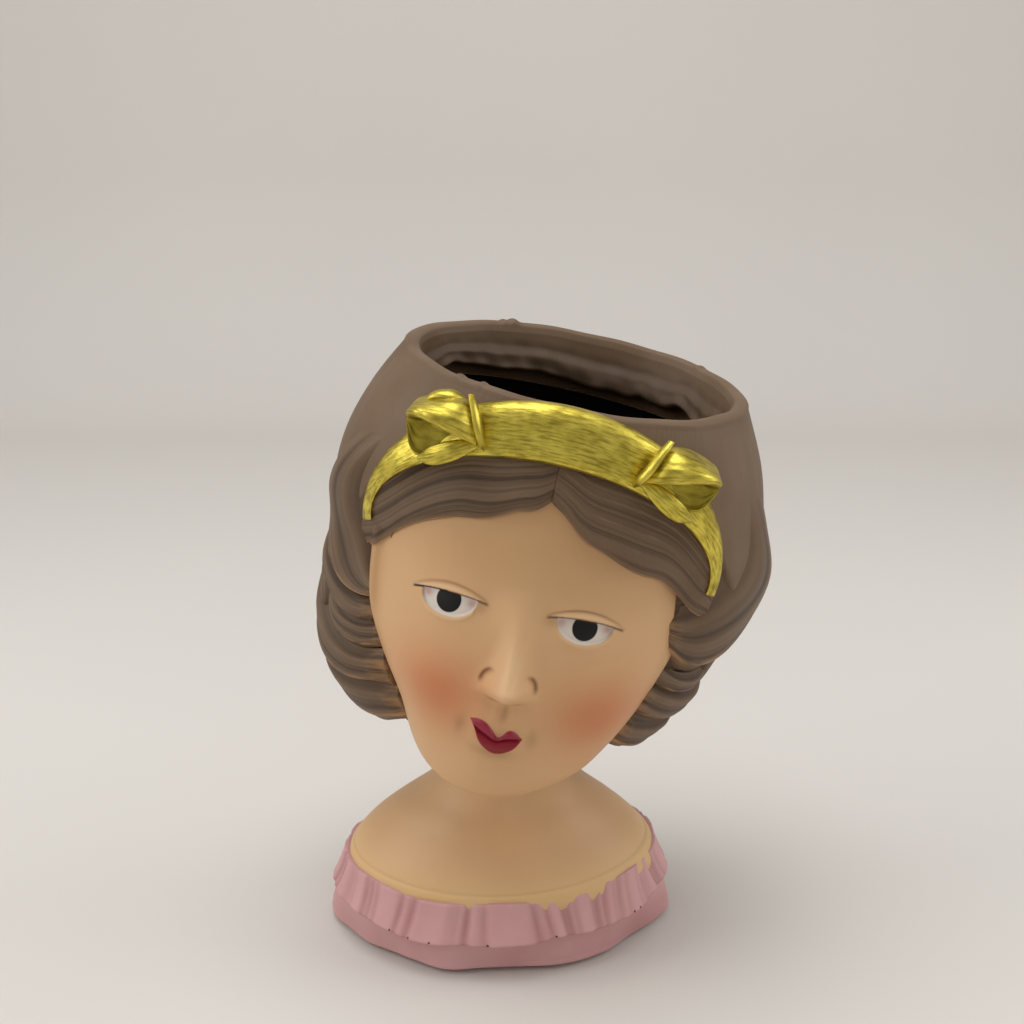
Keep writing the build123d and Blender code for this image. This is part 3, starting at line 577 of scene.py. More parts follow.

# Matt acrylic paint on cast resin, the face: skin tone, sprayed rose on cheeks and nose, brushed
# eyes and lips. Thin brown in the creases is painted shade, and a paler coat is painted highlight on the upper lids and
# nose ridge, with pale paint on the lower eye rims. The pot inside is painted near black with no sheen, as painted
# shade.
face_finish, tree, shader = finish_of("painted_face_acrylic")
where = add(tree, "TexCoord").outputs["Object"]
mark = {
    name: add(tree, "Attribute", attribute_name=name).outputs["Fac"]
    for name in ("blush", "crease", "lid", "white", "rosy", "pupil", "black_lash", "brown_lash", "lips", "lower", "inside", "warm")
}
edge = {
    name: add(tree, "MapRange", {0: mark[name], 1: -0.1, 2: 0.12}).outputs[0]
    for name in ("white", "pupil", "lips", "lower")
}
cloud = add(tree, "TexNoise", {"Vector": where, "Scale": 1 / 0.018, "Detail": 3.0})
patch = add(tree, "MapRange", {0: cloud, 1: 0.4, 2: 0.75, 4: 0.6})
eye_white = add(tree, "Math", {0: edge["white"], 1: mark["rosy"]}, operation="MULTIPLY", use_clamp=True)
wire(tree, shader, {"Base Color": painted(tree, "#D6AC7E", (
        (patch, "#CFA374"), (mark["warm"], "#BA9062"), (mark["blush"], "#C26C42"), (mark["lid"], "#E9C396"),
        (mark["crease"], "#7F5836"), (edge["white"], "#D9CFC2"), (eye_white, "#C39A90"), (edge["pupil"], "#040404"),
        (mark["brown_lash"], "#4E3018"), (mark["black_lash"], "#0B0908"), (edge["lips"], "#932A3C"),
        (edge["lower"], "#86041F"), (mark["inside"], "#0B0807")))})
tooth = add(tree, "TexNoise", {"Vector": where, "Scale": 1 / 0.001, "Detail": 2.0})
relief = add(tree, "Bump", {"Height": tooth, "Strength": 0.06, "Distance": 0.0003})
wire(tree, shader, {"Normal": relief})
gloss = add(tree, "MapRange", {0: edge["lips"], 3: 0.5, 4: 0.36})
wire(tree, shader, {"Roughness": gloss})
# The pot inside loses its specular sheen, part of its painted shade.
sheen = add(tree, "MapRange", {0: mark["inside"], 3: 0.3, 4: 0.0})
wire(tree, shader, {"Specular IOR Level": sheen})

head = skin(
    "head_and_face", head_points, face_finish,
    blush=np.clip(blush, 0, 1) * 0.75 * face, crease=np.clip(crease, 0, 1) * face, lid=np.clip(lid, 0, 1) * 0.6 * face,
    white=np.where(face > 0.5, white, -9), rosy=np.clip(rosy, 0, 1), pupil=np.where(face > 0.5, pupil, -9),
    black_lash=np.clip(black_lash, 0, 1) * face, brown_lash=np.clip(brown_lash, 0, 1) * face * 0.8,
    lips=np.where(face > 0.5, lips, -9), lower=np.where(face > 0.5, lower, -9), inside=1.0 - outside,
    warm=np.maximum(hairline * 0.6, 0.55 * rising(z, 10, 24)),
)
settle(head, "painted_skin", "head_pot")

# Hair: the bob over crown, sides and back is one casting that carries the pot's rim. It is smooth at
# the rim, grooved lower down, and ends inside the mouth in a rough collar of resin.

# Rows of height, half-width, front, back and middle, from the hem up.
HAIR_ROWS = np.array([
    (-42.0, 26.5, 9.0, 22.5, -3.0), (-36.1, 34.0, 15.0, 30.5, -3.2), (-26.9, 41.9, 21.0, 37.5, -3.4), (-16.0, 46.9, 24.5, 42.5, -1.9),
    (-4.0, 50.2, 26.5, 45.5, -0.6), (10.0, 52.0, 29.0, 47.0, 1.7), (20.1, 52.6, 36.0, 47.0, 1.2), (32.1, 50.2, 41.3, 45.5, 0.0),
    (45.0, 46.0, 40.0, 42.5, 0.0), (56.7, 40.0, 36.2, 38.0, 0.0), (65.9, 35.0, 31.0, 33.0, 0.0),
])
HEM_TURNS = (-180, -120, -95, -84, -76, -68, -60, -52, -42, -30, -15, 0, 15, 30, 42, 52, 60, 68, 76, 84, 95, 120, 180)
HEM_HEIGHTS = (-37, -36.5, -34, -28, -18, -5, 8, 21, 32, 41, 46, 47.5, 46, 41, 32, 21, 8, -4, -13, -20, -25, -31, -37)
RIM_HEIGHT = 57.9
RIM_LEAN = 0.087
RIM_SIDE_LEAN = 0.03
RIM_WALL = 3.8
RIM_ROUND = 1.6
# Small drips of resin on the rim: turn, spread in degrees and height.
RIM_DRIPS = np.array([(-150, 2.2, 0.9), (-146, 1.1, 0.5), (-38, 1.3, 0.5), (-29, 1.0, 0.4), (128, 1.4, 0.4)])
COLLAR_BOTTOM = 45.6
COLLAR_NOTCHES = np.array([(128, 7, 2.4), (150, 4, 1.2), (-165, 6, 0.9), (100, 5, 1.5), (-120, 8, 1.4), (30, 6, 1.0), (-40, 9, 1.2)])


def hair_sizes(height):
    """Half-width, front, back and middle of the hair at a height, carried smoothly between the rows."""
    return np.moveaxis(smooth(height, HAIR_ROWS[:, 0], HAIR_ROWS[:, 1:]), -1, 0)


def bumps(degrees, places):
    """A sum of soft bumps round the head: each place is a turn, a spread in degrees and a height."""
    return (places[:, 2] * np.exp(-((degrees[:, None] - places[:, 0]) / places[:, 1]) ** 2)).sum(1)


turn = np.radians(np.linspace(-180, 180, 721)[:-1])
degrees = np.degrees(turn)
hem = smooth(degrees, HEM_TURNS, HEM_HEIGHTS) + 0.8 * np.cos(turn * 14) * rising(np.abs(degrees), 70, 90)
rim_x, rim_y = oval(turn, 41.0, 36.0, 38.0)
rim = RIM_HEIGHT + RIM_LEAN * rim_y + RIM_SIDE_LEAN * rim_x + 0.12 * np.cos(5 * turn + 1) + 0.1 * np.cos(13 * turn)
climb = np.linspace(0, 1, 90)
height = hem[:, None] + (rim - RIM_ROUND - hem)[:, None] * climb
half_width, front_reach, back_reach, middle = hair_sizes(height)
down = rising(-height, -30, 12)
strands = (
    0.5 * np.cos(11 * turn[:, None] + 0.05 * height + 0.6) + 0.35 * np.cos(23 * turn[:, None] - 0.07 * height)
    + 0.3 * np.cos(41 * turn[:, None] + 0.11 * height + 2))
groove = strands * (0.1 + 0.6 * down)
tuck = -3.2 * np.exp(-(climb * (rim - hem)[:, None] / 2.2) ** 2)
outer = groove + tuck
outer_x, outer_y = oval(turn[:, None], half_width + outer, front_reach + outer, back_reach + outer, middle)
bend = np.linspace(0, np.pi, 11)[1:]
rim_in = RIM_WALL / 2 * (1 - np.cos(bend))
rim_z = rim[:, None] - RIM_ROUND + (RIM_ROUND + bumps(degrees, RIM_DRIPS)[:, None]) * np.sin(bend) ** 0.6
top_w, top_f, top_b, _ = hair_sizes(rim[:, None] - RIM_ROUND)
rim_x, rim_yy = oval(turn[:, None], top_w - rim_in, top_f - rim_in, top_b - rim_in)
drop = np.linspace(0, 1, 30)[1:]
ragged = COLLAR_BOTTOM + RIM_LEAN * rim_y + 0.5 * np.cos(3 * turn + 0.4) + 0.25 * np.cos(17 * turn + 2.0) + bumps(degrees, COLLAR_NOTCHES)
lump = drop ** 1.5 * (
    0.25 * np.cos(9 * turn[:, None] + 5 * drop) + 0.15 * np.cos(19 * turn[:, None] - 7 * drop + 1) + 0.15 * np.cos(33 * turn[:, None] + 9 * drop)
    + 0.2 * np.cos(14 * drop + 3 * turn[:, None]))
collar_in = RIM_WALL + 0.2 + 0.9 * drop + 1.2 * rising(drop, 0.38, 0.62) + lump - 1.2 * np.exp(-((drop - 1) / 0.05) ** 2)
collar_z = rim[:, None] - RIM_ROUND + (ragged - rim + RIM_ROUND)[:, None] * drop
collar_x, collar_y = oval(turn[:, None], top_w - collar_in, top_f - collar_in, top_b - collar_in)
rear_z = np.stack([ragged + 0.3, np.maximum(hem + 0.5, np.minimum(45.0, ragged - 0.5)), np.maximum(hem + 0.3, 20.0), hem + 0.1], 1)
head_w, head_f, head_b = np.moveaxis(smooth(rear_z, HEAD_OUTSIDE[:, 0], HEAD_OUTSIDE[:, 1:]), -1, 0)
spare = np.array([-0.8, 0.3, 0.3, 0.3])
rear_x, rear_y = oval(turn[:, None], head_w + spare, head_f + spare, head_b + spare)
cap_points = on_head(np.stack([
    np.hstack([outer_x, rim_x, collar_x, rear_x]), np.hstack([outer_y, rim_yy, collar_y, rear_y]),
    np.hstack([height, rim_z, collar_z, rear_z])], -1))
# Painted shade through the strand height: the collar darkens going down into the mouth, and the lower hair is lowered
# by 0.35 to take more groove shade.
inward = np.broadcast_to(-0.75 * rising(drop, 0.05, 0.5), (len(turn), len(drop)))
cap_ridge = np.hstack([np.clip(strands * down - 0.35 * down, -1, 1), np.zeros((len(turn), len(bend))), inward, np.zeros((len(turn), 4))])
across = np.broadcast_to((degrees * 0.85)[:, None], cap_points.shape[:2])
length = np.hstack([height, rim_z, collar_z, rear_z])

# Matt acrylic paint on cast resin, the hair: taupe brown, with painted shade darkening the grooves, the lower hair,
# the lock edges and the collar in the mouth; ridges and edges dry-brushed in tan so that strands stand out, the tan on
# the ridges partly a painted highlight.
hair_finish, tree, shader = finish_of("dry_brushed_hair_acrylic")
where = add(tree, "TexCoord").outputs["Object"]
ridge = add(tree, "Attribute", attribute_name="ridge")
worn = add(tree, "Attribute", attribute_name="worn")
across_strands = add(tree, "Attribute", attribute_name="across")
along_strands = add(tree, "Attribute", attribute_name="along")
strand_place = add(tree, "CombineXYZ", {0: across_strands.outputs["Fac"], 1: along_strands.outputs["Fac"]})
# Brush streaks about 0.7 mm apart and 8 mm long, in the strands' own millimetres.
stretched = add(tree, "Mapping", {"Vector": strand_place, "Scale": (1 / 0.7, 1 / 8.0, 1.0)})
streak = add(tree, "TexNoise", {"Vector": stretched, "Scale": 1.0, "Detail": 3.0})
cloud = add(tree, "TexNoise", {"Vector": where, "Scale": 1 / 0.02, "Detail": 3.0})
patch = add(tree, "MapRange", {0: cloud, 1: 0.35, 2: 0.7})
# Painted shade where the strand height is low.
deep = add(tree, "MapRange", {0: ridge.outputs["Fac"], 1: -0.2, 2: -1.1, 3: 0.0, 4: 0.75})
high = add(tree, "MapRange", {0: ridge.outputs["Fac"], 1: 0.35, 2: 1.0})
brushed = add(tree, "MapRange", {0: streak, 1: 0.52, 2: 0.68})
tan = add(tree, "Math", {0: high, 1: brushed}, operation="MULTIPLY")
scuff = add(tree, "MapRange", {0: streak, 1: 0.4, 2: 0.6})
bare = add(tree, "Math", {0: worn.outputs["Fac"], 1: scuff}, operation="MULTIPLY")
wire(tree, shader, {"Base Color": painted(tree, "#77614C", ((patch, "#6B543E"), (deep, "#33251A"), (tan, "#A07A55"), (bare, "#BD9063")))})
strand_relief = add(tree, "Bump", {"Height": streak, "Strength": 0.22, "Distance": 0.0005})
wire(tree, shader, {"Normal": strand_relief, "Roughness": 0.55, "Specular IOR Level": 0.3})

cap = skin(
    "hair_and_rim", cap_points, hair_finish, ring=True, ridge=cap_ridge, across=across, along=length,
    worn=np.zeros(cap_points.shape[:2]),
)
settle(cap, "painted_hair", "hair_cap")

# Fringe: two flat sweeps of hair that part over the forehead and run out to the temples under the
# band. Each is a thin sheet on the head with strands modelled along it.

FRINGE_EDGES = {
    -1: ((0, 1.5, 7, 13.3, 19.8, 26.5, 30.5, 34.0, 37.0, 40.5), (34.9, 33.4, 30.7, 27.9, 25.5, 22.0, 18.2, 13.8, 11.0, 9.0)),
    1: ((0, 3.4, 6.8, 14.6, 22.2, 28.6, 32.4, 36.0, 40.5), (34.9, 32.7, 29.8, 25.4, 22.5, 20.0, 17.2, 13.6, 10.5)),
}
FRINGE_ARCH_SPAN, FRINGE_ARCH_RISE, FRINGE_ARCH_BASE = 42.6, 33.5, 14.0


def head_front(px, pz):
    """y of the head's front at a place seen from the front, by the oval at that height."""
    half_width, front_reach, back_reach = np.moveaxis(smooth(pz, HEAD_OUTSIDE[:, 0], HEAD_OUTSIDE[:, 1:]), -1, 0)
    return (back_reach - front_reach) / 2 - (front_reach + back_reach) / 2 * np.sqrt(np.clip(1 - (px / half_width) ** 2, 0.01, 1))


def hair_front(px, pz):
    """y of the hair's front at a place seen from the front, by the oval at that height."""
    half_width, front_reach, back_reach, middle = hair_sizes(pz)
    return (back_reach - front_reach) / 2 - (front_reach + back_reach) / 2 * np.sqrt(np.clip(1 - ((px - middle) / half_width) ** 2, 0.01, 1))


for side, name in ((-1, "left"), (1, "right")):
    run = np.linspace(0, 1, 170)[:, None]
    rise = np.linspace(0, 1, 70)[None, :]
    fx = 0.03 + 40.3 * run
    bottom = smooth(fx, *FRINGE_EDGES[side]) + 0.25 * np.sin(19 * run + side) * rising(run, 0.05, 0.2)
    top = FRINGE_ARCH_BASE + FRINGE_ARCH_RISE * np.sqrt(np.clip(1 - (fx / FRINGE_ARCH_SPAN) ** 2, 0, 1))
    fz = bottom + (top - bottom) * rise
    px = np.broadcast_to(fx, fz.shape)
    span = fz - bottom
    lanes = 3.6 + 0.6 * side
    flow = 2 * np.pi * (rise ** (0.85 + 0.3 * run) * lanes + 0.3 * np.sin(2.4 * run + side) + 0.1 * np.sin(9 * run))
    waves = 0.5 * np.cos(flow) + 0.4 * np.cos(2.3 * flow + 1.0 + side) + 0.3 * np.cos(4.7 * flow + 2.0 + 2 * run) + 0.2 * np.cos(9.1 * flow)
    body = 2.7 * rising(span, -0.5, 3.5) * (0.88 + 0.12 * rising(run, 0.0, 0.1)) + 0.3
    lift = body + 0.2 * waves * rising(span, 0.3, 2.0) * rising(run, 0.02, 0.15)
    outwards = rising(run, 0.55, 0.95)
    fy = (head_front(px, fz) - lift) * (1 - outwards) + (hair_front(side * px, fz) - 0.4 - 0.15 * waves) * outwards
    # The fringe lies over the corner of the temple.
    corner = np.degrees(np.arcsin(np.clip(px / 38.8, 0, 1)))
    fy = np.minimum(fy, head_front(px, fz) - (6.5 if side < 0 else 2.5) * np.exp(-((corner - 73) / 10) ** 2) - 0.5 - 0.4 * outwards)
    back = np.maximum(head_front(px, fz), fy) + 0.6
    fringe_points = np.stack([
        np.hstack([px, px[:, ::-1]]) * side, np.hstack([fy, back[:, ::-1]]), np.hstack([fz, fz[:, ::-1]])], -1)
    hidden = np.zeros_like(fz)
    # Painted shade: the strand height is lowered, the left sweep more than the right, so the groove shade darkens the
    # left more.
    fringe = skin(
        f"fringe_sweep_{name}", on_head(fringe_points), hair_finish,
        ridge=np.hstack([np.clip(waves * 0.8 - 0.3 + 0.15 * side, -1, 1) * rising(span, 0.3, 2.0), hidden]),
        across=np.hstack([span * 1.0, hidden]), along=np.hstack([px * 1.0, hidden]),
        worn=np.hstack([np.exp(-(span / 0.4) ** 2) * 0.8, hidden]),
    )
    settle(fringe, "painted_hair", f"fringe_{name}")

# Curls: the ends of the bob roll in towards the cheeks in overlapping locks. Each lock is a swelling
# sheet of strands on the hair that sweeps down from the temple and turns under to the face.

LOCK_DEPTH = 9.0
LOCK_STEPS, LOCK_FRONT, LOCK_REAR = 130, 60, 10
LOCK_LENGTH = 60


def lock(inner, outer, lift, lanes, phase):
    """A lock of hair between two curves of turn and height on the hair: it swells by lift between them,
    sinks in at its start and edges, and ripples across into strands. Gives points, the strands' height,
    and places across and along."""
    run = np.linspace(0, 1, LOCK_STEPS)[:, None]
    share = np.concatenate([np.linspace(0, 1, LOCK_FRONT), np.linspace(1, 0, LOCK_REAR)])
    front = np.arange(len(share)) < LOCK_FRONT
    sides = []
    for curve in (inner, outer):
        curve = np.array(curve, float)
        at = np.concatenate([[0.0], np.cumsum(np.hypot(0.8 * np.diff(curve[:, 0]), np.diff(curve[:, 1])))])
        sides.append(smooth(run[:, 0] * at[-1], at, curve)[:, None])
    place = sides[0] + (sides[1] - sides[0]) * share[:, None]
    edge = rising(share, 0, 0.32) * (1 - rising(share, 0.82, 1)) * front
    flow = 2 * np.pi * lanes * share + phase + 1.1 * np.sin(3.1 * run + phase) + 0.4 * np.sin(9 * run + 4 * share)
    fade = 0.55 + 0.45 * np.sin(6 * run + 9 * share + phase)
    waves = 0.6 * np.cos(flow) + 0.4 * fade * np.cos(2.1 * flow + 1.3) + 0.3 * (1 - fade) * np.cos(4.3 * flow)
    start = rising(run, 0.02, 0.5)
    swell = edge * (0.75 + 0.25 * np.sin(np.pi * share)) * start * (1 - 0.5 * rising(run, 0.94, 1))
    grow = np.where(front, -1.5 + (lift + 1.5) * swell + 0.22 * waves * edge * start ** 2, -LOCK_DEPTH)
    half_width, front_reach, back_reach, middle = hair_sizes(place[..., 1])
    px, py = oval(np.radians(place[..., 0]), half_width + grow, front_reach + grow, back_reach + grow, middle)
    length = LOCK_LENGTH * run * np.ones_like(share)
    # The strand height is lowered by 0.5, so the painted groove shade darkens each lock, most at its edges.
    return np.stack([px, py, place[..., 1]], -1), (0.65 * waves * edge - 0.5) * start, share * lanes * 2.4 * np.ones_like(run), length


# Each lock: name, lift, strands, phase, and its two edges.
LOCKS = (
    ("left_1", 1.9, 2.6, 0.3,
        ((-34, 47), (-45, 38.5), (-49.5, 30), (-50, 22), (-47, 13), (-43.5, 6), (-39.5, 0.6)),
        ((-46, 50), (-62, 40), (-74, 29), (-82, 15), (-79, 4.5), (-66, -2), (-53, -4.2), (-43, -2.6), (-38, -0.2))),
    ("left_2", 0.9, 1.6, 1.0,
        ((-80, 24), (-80, 14), (-77, 6), (-66, 0), (-53, -2.5), (-42, -2)),
        ((-92, 22), (-93, 10), (-86, 1), (-72, -5.5), (-60, -9.3), (-49, -10), (-39, -7))),
    ("left_swirl", 0.0, 2.4, 2.0,
        ((-74, -5), (-66, -8), (-56, -9.5), (-46, -9), (-38, -6.5)),
        ((-80, -9), (-70, -14), (-58, -17), (-47, -16.5), (-37, -13.5))),
    ("left_3", 1.3, 2.4, 0.5,
        ((-92, 14), (-90, 2), (-83, -7), (-70, -13.5), (-58, -16.5), (-47, -16.5), (-37, -14)),
        ((-106, 12), (-106, -6), (-97, -18), (-78, -25.5), (-62, -27.5), (-48, -26), (-38, -23.5), (-31, -22.5))),
    ("left_4", 0.9, 2.0, 3.0,
        ((-106, -6), (-96, -18), (-78, -24.5), (-60, -26.5), (-46, -25), (-36, -23), (-30, -22)),
        ((-112, -20), (-100, -30), (-80, -35.5), (-60, -37), (-44, -35.5), (-33, -32.5), (-25, -30))),
    ("right_1", 1.9, 3.2, 0.8,
        ((44, 52), (55, 44), (57.5, 34), (53, 26), (46.5, 19), (41.5, 15), (36.6, 12.8), (33.5, 11.2)),
        ((66, 52), (86, 42), (97, 28), (98, 14), (91, 4), (80, -3), (66, -6), (53, -4.5), (43, -0.5), (35.5, 4))),
    ("right_2", 0.4, 1.8, 1.7,
        ((90, 0), (80, -4), (66, -6.5), (54, -5.5), (44, -2), (37, 1.5)),
        ((94, -8), (84, -11), (70, -12.5), (57, -11.5), (46, -8.5), (39, -5.5))),
    ("right_3", 1.5, 2.2, 2.6,
        ((98, -2), (88, -8), (74, -11), (60, -11), (48, -8.5), (40, -6)),
        ((106, -10), (94, -16), (78, -20), (62, -20.5), (50, -18), (41, -15))),
    ("right_4", 1.2, 2.0, 0.4,
        ((104, -12), (92, -17), (78, -19.5), (62, -20), (50, -18), (42, -16)),
        ((112, -22), (98, -28), (82, -30.5), (66, -30.5), (54, -28.5), (44, -26))),
)
for name, lift, lanes, phase, inner, outer in LOCKS:
    points, ridge, across, run = lock(inner, outer, lift, lanes, phase)
    share = across / across.max()
    tip = np.exp(-((share - 0.86) / 0.07) ** 2) * rising(run, 20, 45) * 0.6 + rising(run, 54, 60) * 0.5
    tip[:, LOCK_FRONT:] = 0
    curl = skin(
        f"curl_lock_{name}", on_head(points), hair_finish, ridge=np.clip(ridge, -1, 1), across=across, along=run, worn=tip)
    # The swirl has no solid of its own.
    nodes = () if name == "left_swirl" else (f"curl_{name}",)
    settle(curl, "painted_hair", *nodes)

# Headband: a flat gilded band from temple to temple, cast on the hair, 12 mm wide over the forehead
# and narrowing to its ends. Its edges are slightly rolled and catch the light.

BAND_BASE, BAND_SPAN, BAND_RISE = 20.0, 40.5, 35.2
BAND_WIDTH, BAND_END_WIDTH = 12.0, 2.5
BAND_PROUD = 2.3
BAND_ENDS = (-97, 93)

# Gold leaf paint on resin: a metal look with brushed streaks, olive where the film is thin, and
# small pinholes. The bows' hollows are painted darker olive as painted shade.
gold_finish, tree, shader = finish_of("brushed_gold_leaf")
where = add(tree, "TexCoord").outputs["Object"]
across_band = add(tree, "Attribute", attribute_name="across")
along_band = add(tree, "Attribute", attribute_name="along")
hollow = add(tree, "Attribute", attribute_name="hollow")
band_place = add(tree, "CombineXYZ", {0: across_band.outputs["Fac"], 1: along_band.outputs["Fac"]})
# Brush marks about 0.5 mm apart and 4 mm long.
stretched = add(tree, "Mapping", {"Vector": band_place, "Rotation": (0.0, 0.0, 0.6), "Scale": (1 / 0.5, 1 / 4.0, 1.0)})
streak = add(tree, "TexNoise", {"Vector": stretched, "Scale": 1.0, "Detail": 4.0})
film = add(tree, "TexNoise", {"Vector": where, "Scale": 1 / 0.004, "Detail": 4.0})
thin = add(tree, "MapRange", {0: film, 1: 0.4, 2: 0.7, 4: 0.7})
brushed = add(tree, "MapRange", {0: streak, 1: 0.45, 2: 0.65, 4: 0.6})
wire(tree, shader, {"Base Color": painted(tree, "#DFCC58", ((thin, "#A08D2F"), (brushed, "#6E6122"), (hollow.outputs["Fac"], "#615812")))})
wire(tree, shader, {"Metallic": 1.0})
gloss = add(tree, "MapRange", {0: streak, 3: 0.3, 4: 0.5})
wire(tree, shader, {"Roughness": gloss})
brush_relief = add(tree, "Bump", {"Height": streak, "Strength": 0.3, "Distance": 0.0004})
film_relief = add(tree, "Bump", {"Height": film, "Normal": brush_relief, "Strength": 0.25, "Distance": 0.0006})
wire(tree, shader, {"Normal": film_relief})

swing = np.radians(np.linspace(*BAND_ENDS, 260))[:, None]
shelf = np.linspace(0, 1, 36)[None, :]
wide = BAND_END_WIDTH + (BAND_WIDTH - BAND_END_WIDTH) * np.clip(np.cos(swing), 0, 1) ** 0.9
band_x = (BAND_SPAN - BAND_END_WIDTH * (1 - shelf)) * np.sin(swing)
band_z = BAND_BASE + (BAND_RISE - BAND_WIDTH * (1 - shelf)) * np.cos(swing)
crown = 1 - np.abs(2 * shelf - 1) ** 6
lift = BAND_PROUD * (0.6 + 0.4 * np.clip(np.cos(swing), 0, 1)) * (0.25 + 0.75 * crown)
lift = lift + 0.12 * np.exp(-((shelf - 0.93) / 0.04) ** 2) + 0.2 * np.exp(-((shelf - 0.07) / 0.04) ** 2)
band_y = hair_front(band_x, band_z)
front_y = band_y - lift
back_y = band_y + 0.8
band_points = np.stack([
    np.hstack([band_x, band_x[:, ::-1]]), np.hstack([front_y, back_y[:, ::-1]]), np.hstack([band_z, band_z[:, ::-1]])], -1)
band_across = np.hstack([wide * shelf, wide * shelf])
band_along = np.broadcast_to(swing * 40.0, band_across.shape)
band = skin("gold_headband", on_head(band_points), gold_finish, across=band_across, along=band_along, hollow=np.zeros(band_across.shape))
settle(band, "gold_leaf", "headband")

# Bows: a ribbon bow at each end of the band's broad part. Each has a loop folded like an awning over
# a hollow that opens to the front, a pointed leaf under it, and a thin knot ridge at its root.

HAIR_AXIS = np.array([0.0, 6.0])
LOOP_RUN = (0.0, 0.25, 0.5, 0.75, 0.92, 1.0)
# Lines of the right loop from the knot to the tip, in the order that goes round its section.
LOOP_LINES = np.array([
    ((19.5, -35.5, 51.0), (22.5, -35.0, 51.8), (26.0, -34.0, 51.6), (30.0, -32.0, 50.0), (32.2, -32.0, 48.4), (33.0, -34.0, 47.0)),
    ((19.6, -39.5, 51.7), (22.5, -40.2, 52.6), (26.0, -40.0, 52.2), (30.0, -38.6, 50.6), (32.4, -38.0, 48.8), (33.2, -38.0, 47.2)),
    ((18.6, -41.6, 48.0), (22.0, -43.3, 49.4), (25.6, -43.6, 49.8), (29.6, -42.4, 49.4), (32.2, -40.8, 48.4), (33.3, -39.0, 47.2)),
    ((17.6, -41.2, 44.4), (21.0, -43.6, 45.6), (25.0, -44.2, 46.6), (29.0, -43.2, 47.4), (31.8, -41.6, 47.4), (33.3, -39.5, 46.8)),
    ((17.7, -40.2, 43.9), (21.2, -42.2, 44.8), (25.1, -42.6, 45.8), (29.0, -41.6, 46.5), (31.7, -40.4, 46.6), (33.2, -39.2, 46.4)),
    ((18.0, -38.6, 43.9), (21.6, -37.6, 44.6), (25.4, -36.9, 45.3), (29.0, -36.4, 45.6), (31.5, -37.2, 45.2), (33.0, -38.4, 45.6)),
    ((18.0, -38.4, 43.5), (21.6, -37.4, 42.6), (25.4, -36.4, 41.6), (28.8, -36.0, 41.0), (31.3, -36.6, 42.4), (32.9, -37.8, 44.9)),
    ((17.8, -38.0, 43.2), (21.5, -37.2, 41.8), (25.4, -36.6, 40.4), (29.0, -36.6, 39.4), (31.8, -36.8, 41.4), (33.0, -37.4, 44.4)),
    ((17.8, -35.6, 43.0), (21.4, -34.8, 41.4), (25.4, -33.6, 40.0), (28.8, -32.6, 39.2), (31.4, -32.6, 41.0), (32.7, -34.2, 44.4)),
])
LEAF_PATH = ((17.2, -39.0, 43.8), (20.5, -40.0, 42.2), (24.0, -39.6, 40.2), (27.0, -38.2, 38.4), (29.2, -36.4, 37.2))
LEAF_HALF_WIDTHS = (0.8, 1.8, 2.2, 1.8, 0.4)
LEAF_HALF_DEPTHS = (0.6, 0.8, 0.9, 0.8, 0.4)
KNOT_PATH = ((20.9, -39.6, 53.2), (19.5, -41.2, 50.5), (18.0, -42.2, 47.2), (16.6, -41.6, 44.6), (15.7, -39.8, 43.0))
KNOT_HALF_WIDTHS = (0.5, 0.85, 0.95, 0.85, 0.5)
KNOT_HALF_DEPTHS = (1.0, 1.3, 1.4, 1.3, 0.9)
LOBE_PATH = ((30.0, -35.5, 48.6), (27.5, -36.6, 50.8), (24.4, -37.0, 51.4), (21.6, -37.2, 50.4))
LOBE_HALF_WIDTHS = (0.8, 1.5, 1.6, 1.0)
LOBE_HALF_DEPTHS = (1.4, 2.4, 2.4, 1.4)


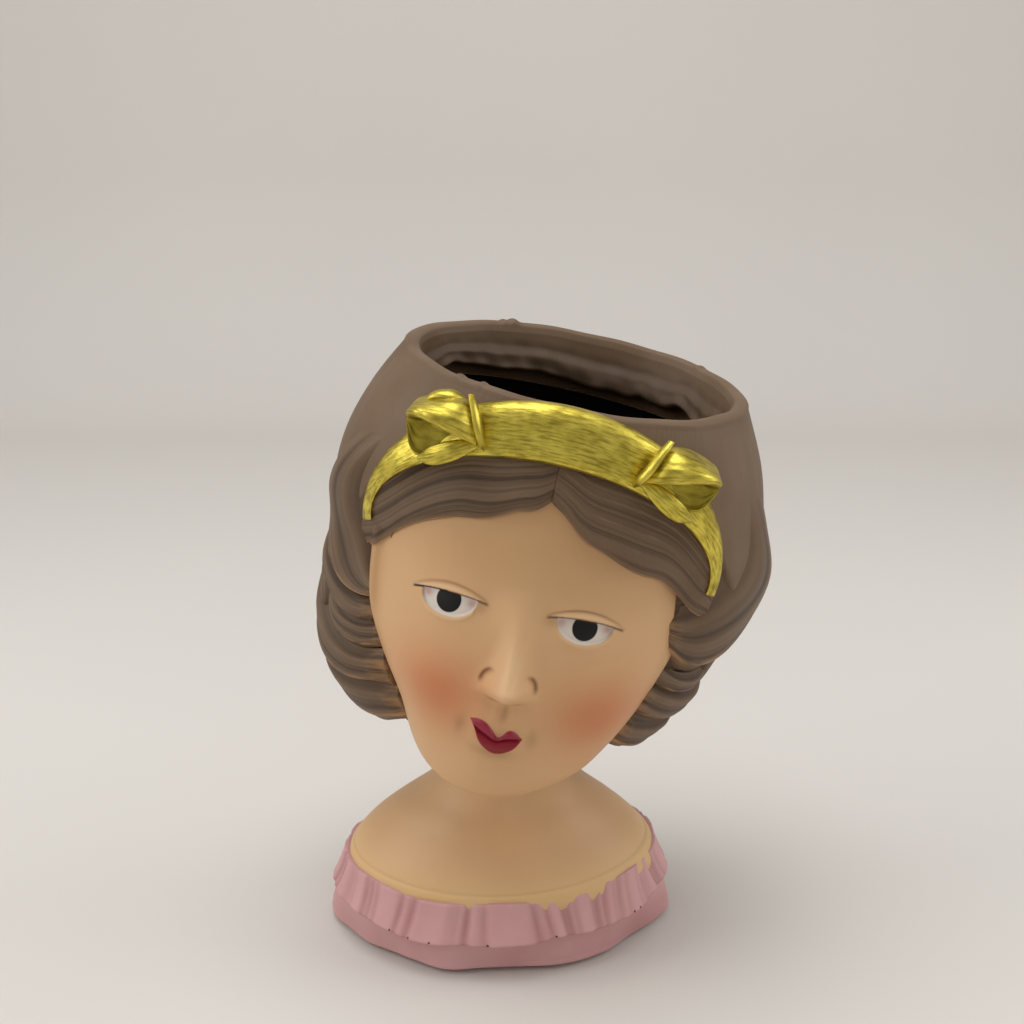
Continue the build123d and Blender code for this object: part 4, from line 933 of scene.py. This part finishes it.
def ribbon(path, half_widths, half_depths, steps=60, columns=40):
    """A smooth ribbon fold: an oval profile carried along a path, its flat side to the hair's axis."""
    path = np.asarray(path, float)
    at = np.concatenate([[0.0], np.cumsum(np.linalg.norm(np.diff(path, axis=0), axis=1))])
    run = np.linspace(0, at[-1], steps)
    centre = smooth(run, at, path)
    ahead = np.gradient(centre, run, axis=0)
    ahead /= np.linalg.norm(ahead, axis=1, keepdims=True)
    out = np.concatenate([centre[:, :2] - HAIR_AXIS, np.zeros((steps, 1))], 1)
    out -= ahead * (out * ahead).sum(1, keepdims=True)
    out /= np.linalg.norm(out, axis=1, keepdims=True)
    aside = np.cross(ahead, out)
    angle = np.linspace(0, 2 * np.pi, columns, endpoint=False)
    across = smooth(run, at, half_widths)[:, None] * np.cos(angle)
    proud = smooth(run, at, half_depths)[:, None] * np.sin(angle)
    points = centre[:, None] + aside[:, None] * across[..., None] + out[:, None] * proud[..., None]
    return points, across, np.broadcast_to(run[:, None], across.shape)


for side, name in ((1, "right"), (-1, "left")):
    hand = np.array([side, 1.0, 1.0])
    # Nine lines round the section become a closed smooth loop by running once past the first line.
    lines = smooth(np.linspace(0, 1, 70), LOOP_RUN, LOOP_LINES.transpose(1, 0, 2))
    looped = np.concatenate([lines[:, -2:], lines, lines[:, :3]], 1).transpose(1, 0, 2)
    around = np.linspace(0, len(LOOP_LINES), 96, endpoint=False)
    loop_points = smooth(around + 2, np.arange(len(looped)), looped).transpose(1, 0, 2)
    loop_points[..., 2] -= 1.0 * rising(loop_points[..., 2], 46, 52)
    if side < 0:
        loop_points[..., 2] -= 1.6 * rising(-loop_points[..., 2], -46, -40)
    # Painted shade in the hollow under the loop.
    hollow = rising(around, 4.2, 5.0) * (1 - rising(around, 6.4, 7.2)) * np.ones((70, 1))
    loop = skin(
        f"bow_fold_{name}", on_head(loop_points * hand), gold_finish, hollow=hollow * 0.45,
        across=np.broadcast_to(around * 2.2, hollow.shape), along=np.broadcast_to(np.linspace(0, 16, 70)[:, None], hollow.shape),
    )
    settle(loop, "gold_leaf", f"bow_loop_{name}")
    for piece_name, node, fold_sizes in (
        (f"bow_leaf_{name}", f"bow_tail_{name}", (LEAF_PATH, LEAF_HALF_WIDTHS, LEAF_HALF_DEPTHS)),
        (f"bow_ridge_{name}", f"bow_knot_{name}", (KNOT_PATH, KNOT_HALF_WIDTHS, KNOT_HALF_DEPTHS)),
    ):
        points, across, run = ribbon(*fold_sizes)
        if side < 0 and node == "bow_knot_left":
            points[..., 1] += 0.8
        part = skin(piece_name, on_head(points * hand), gold_finish, hollow=np.zeros(across.shape), across=across, along=run)
        settle(part, "gold_leaf", node)

points, across, run = ribbon(LOBE_PATH, LOBE_HALF_WIDTHS, LOBE_HALF_DEPTHS)
lobe = skin("bow_back_lobe", on_head(points * np.array([-1.0, 1.0, 1.0])), gold_finish, hollow=np.zeros(across.shape), across=across, along=run)
settle(lobe, "gold_leaf")
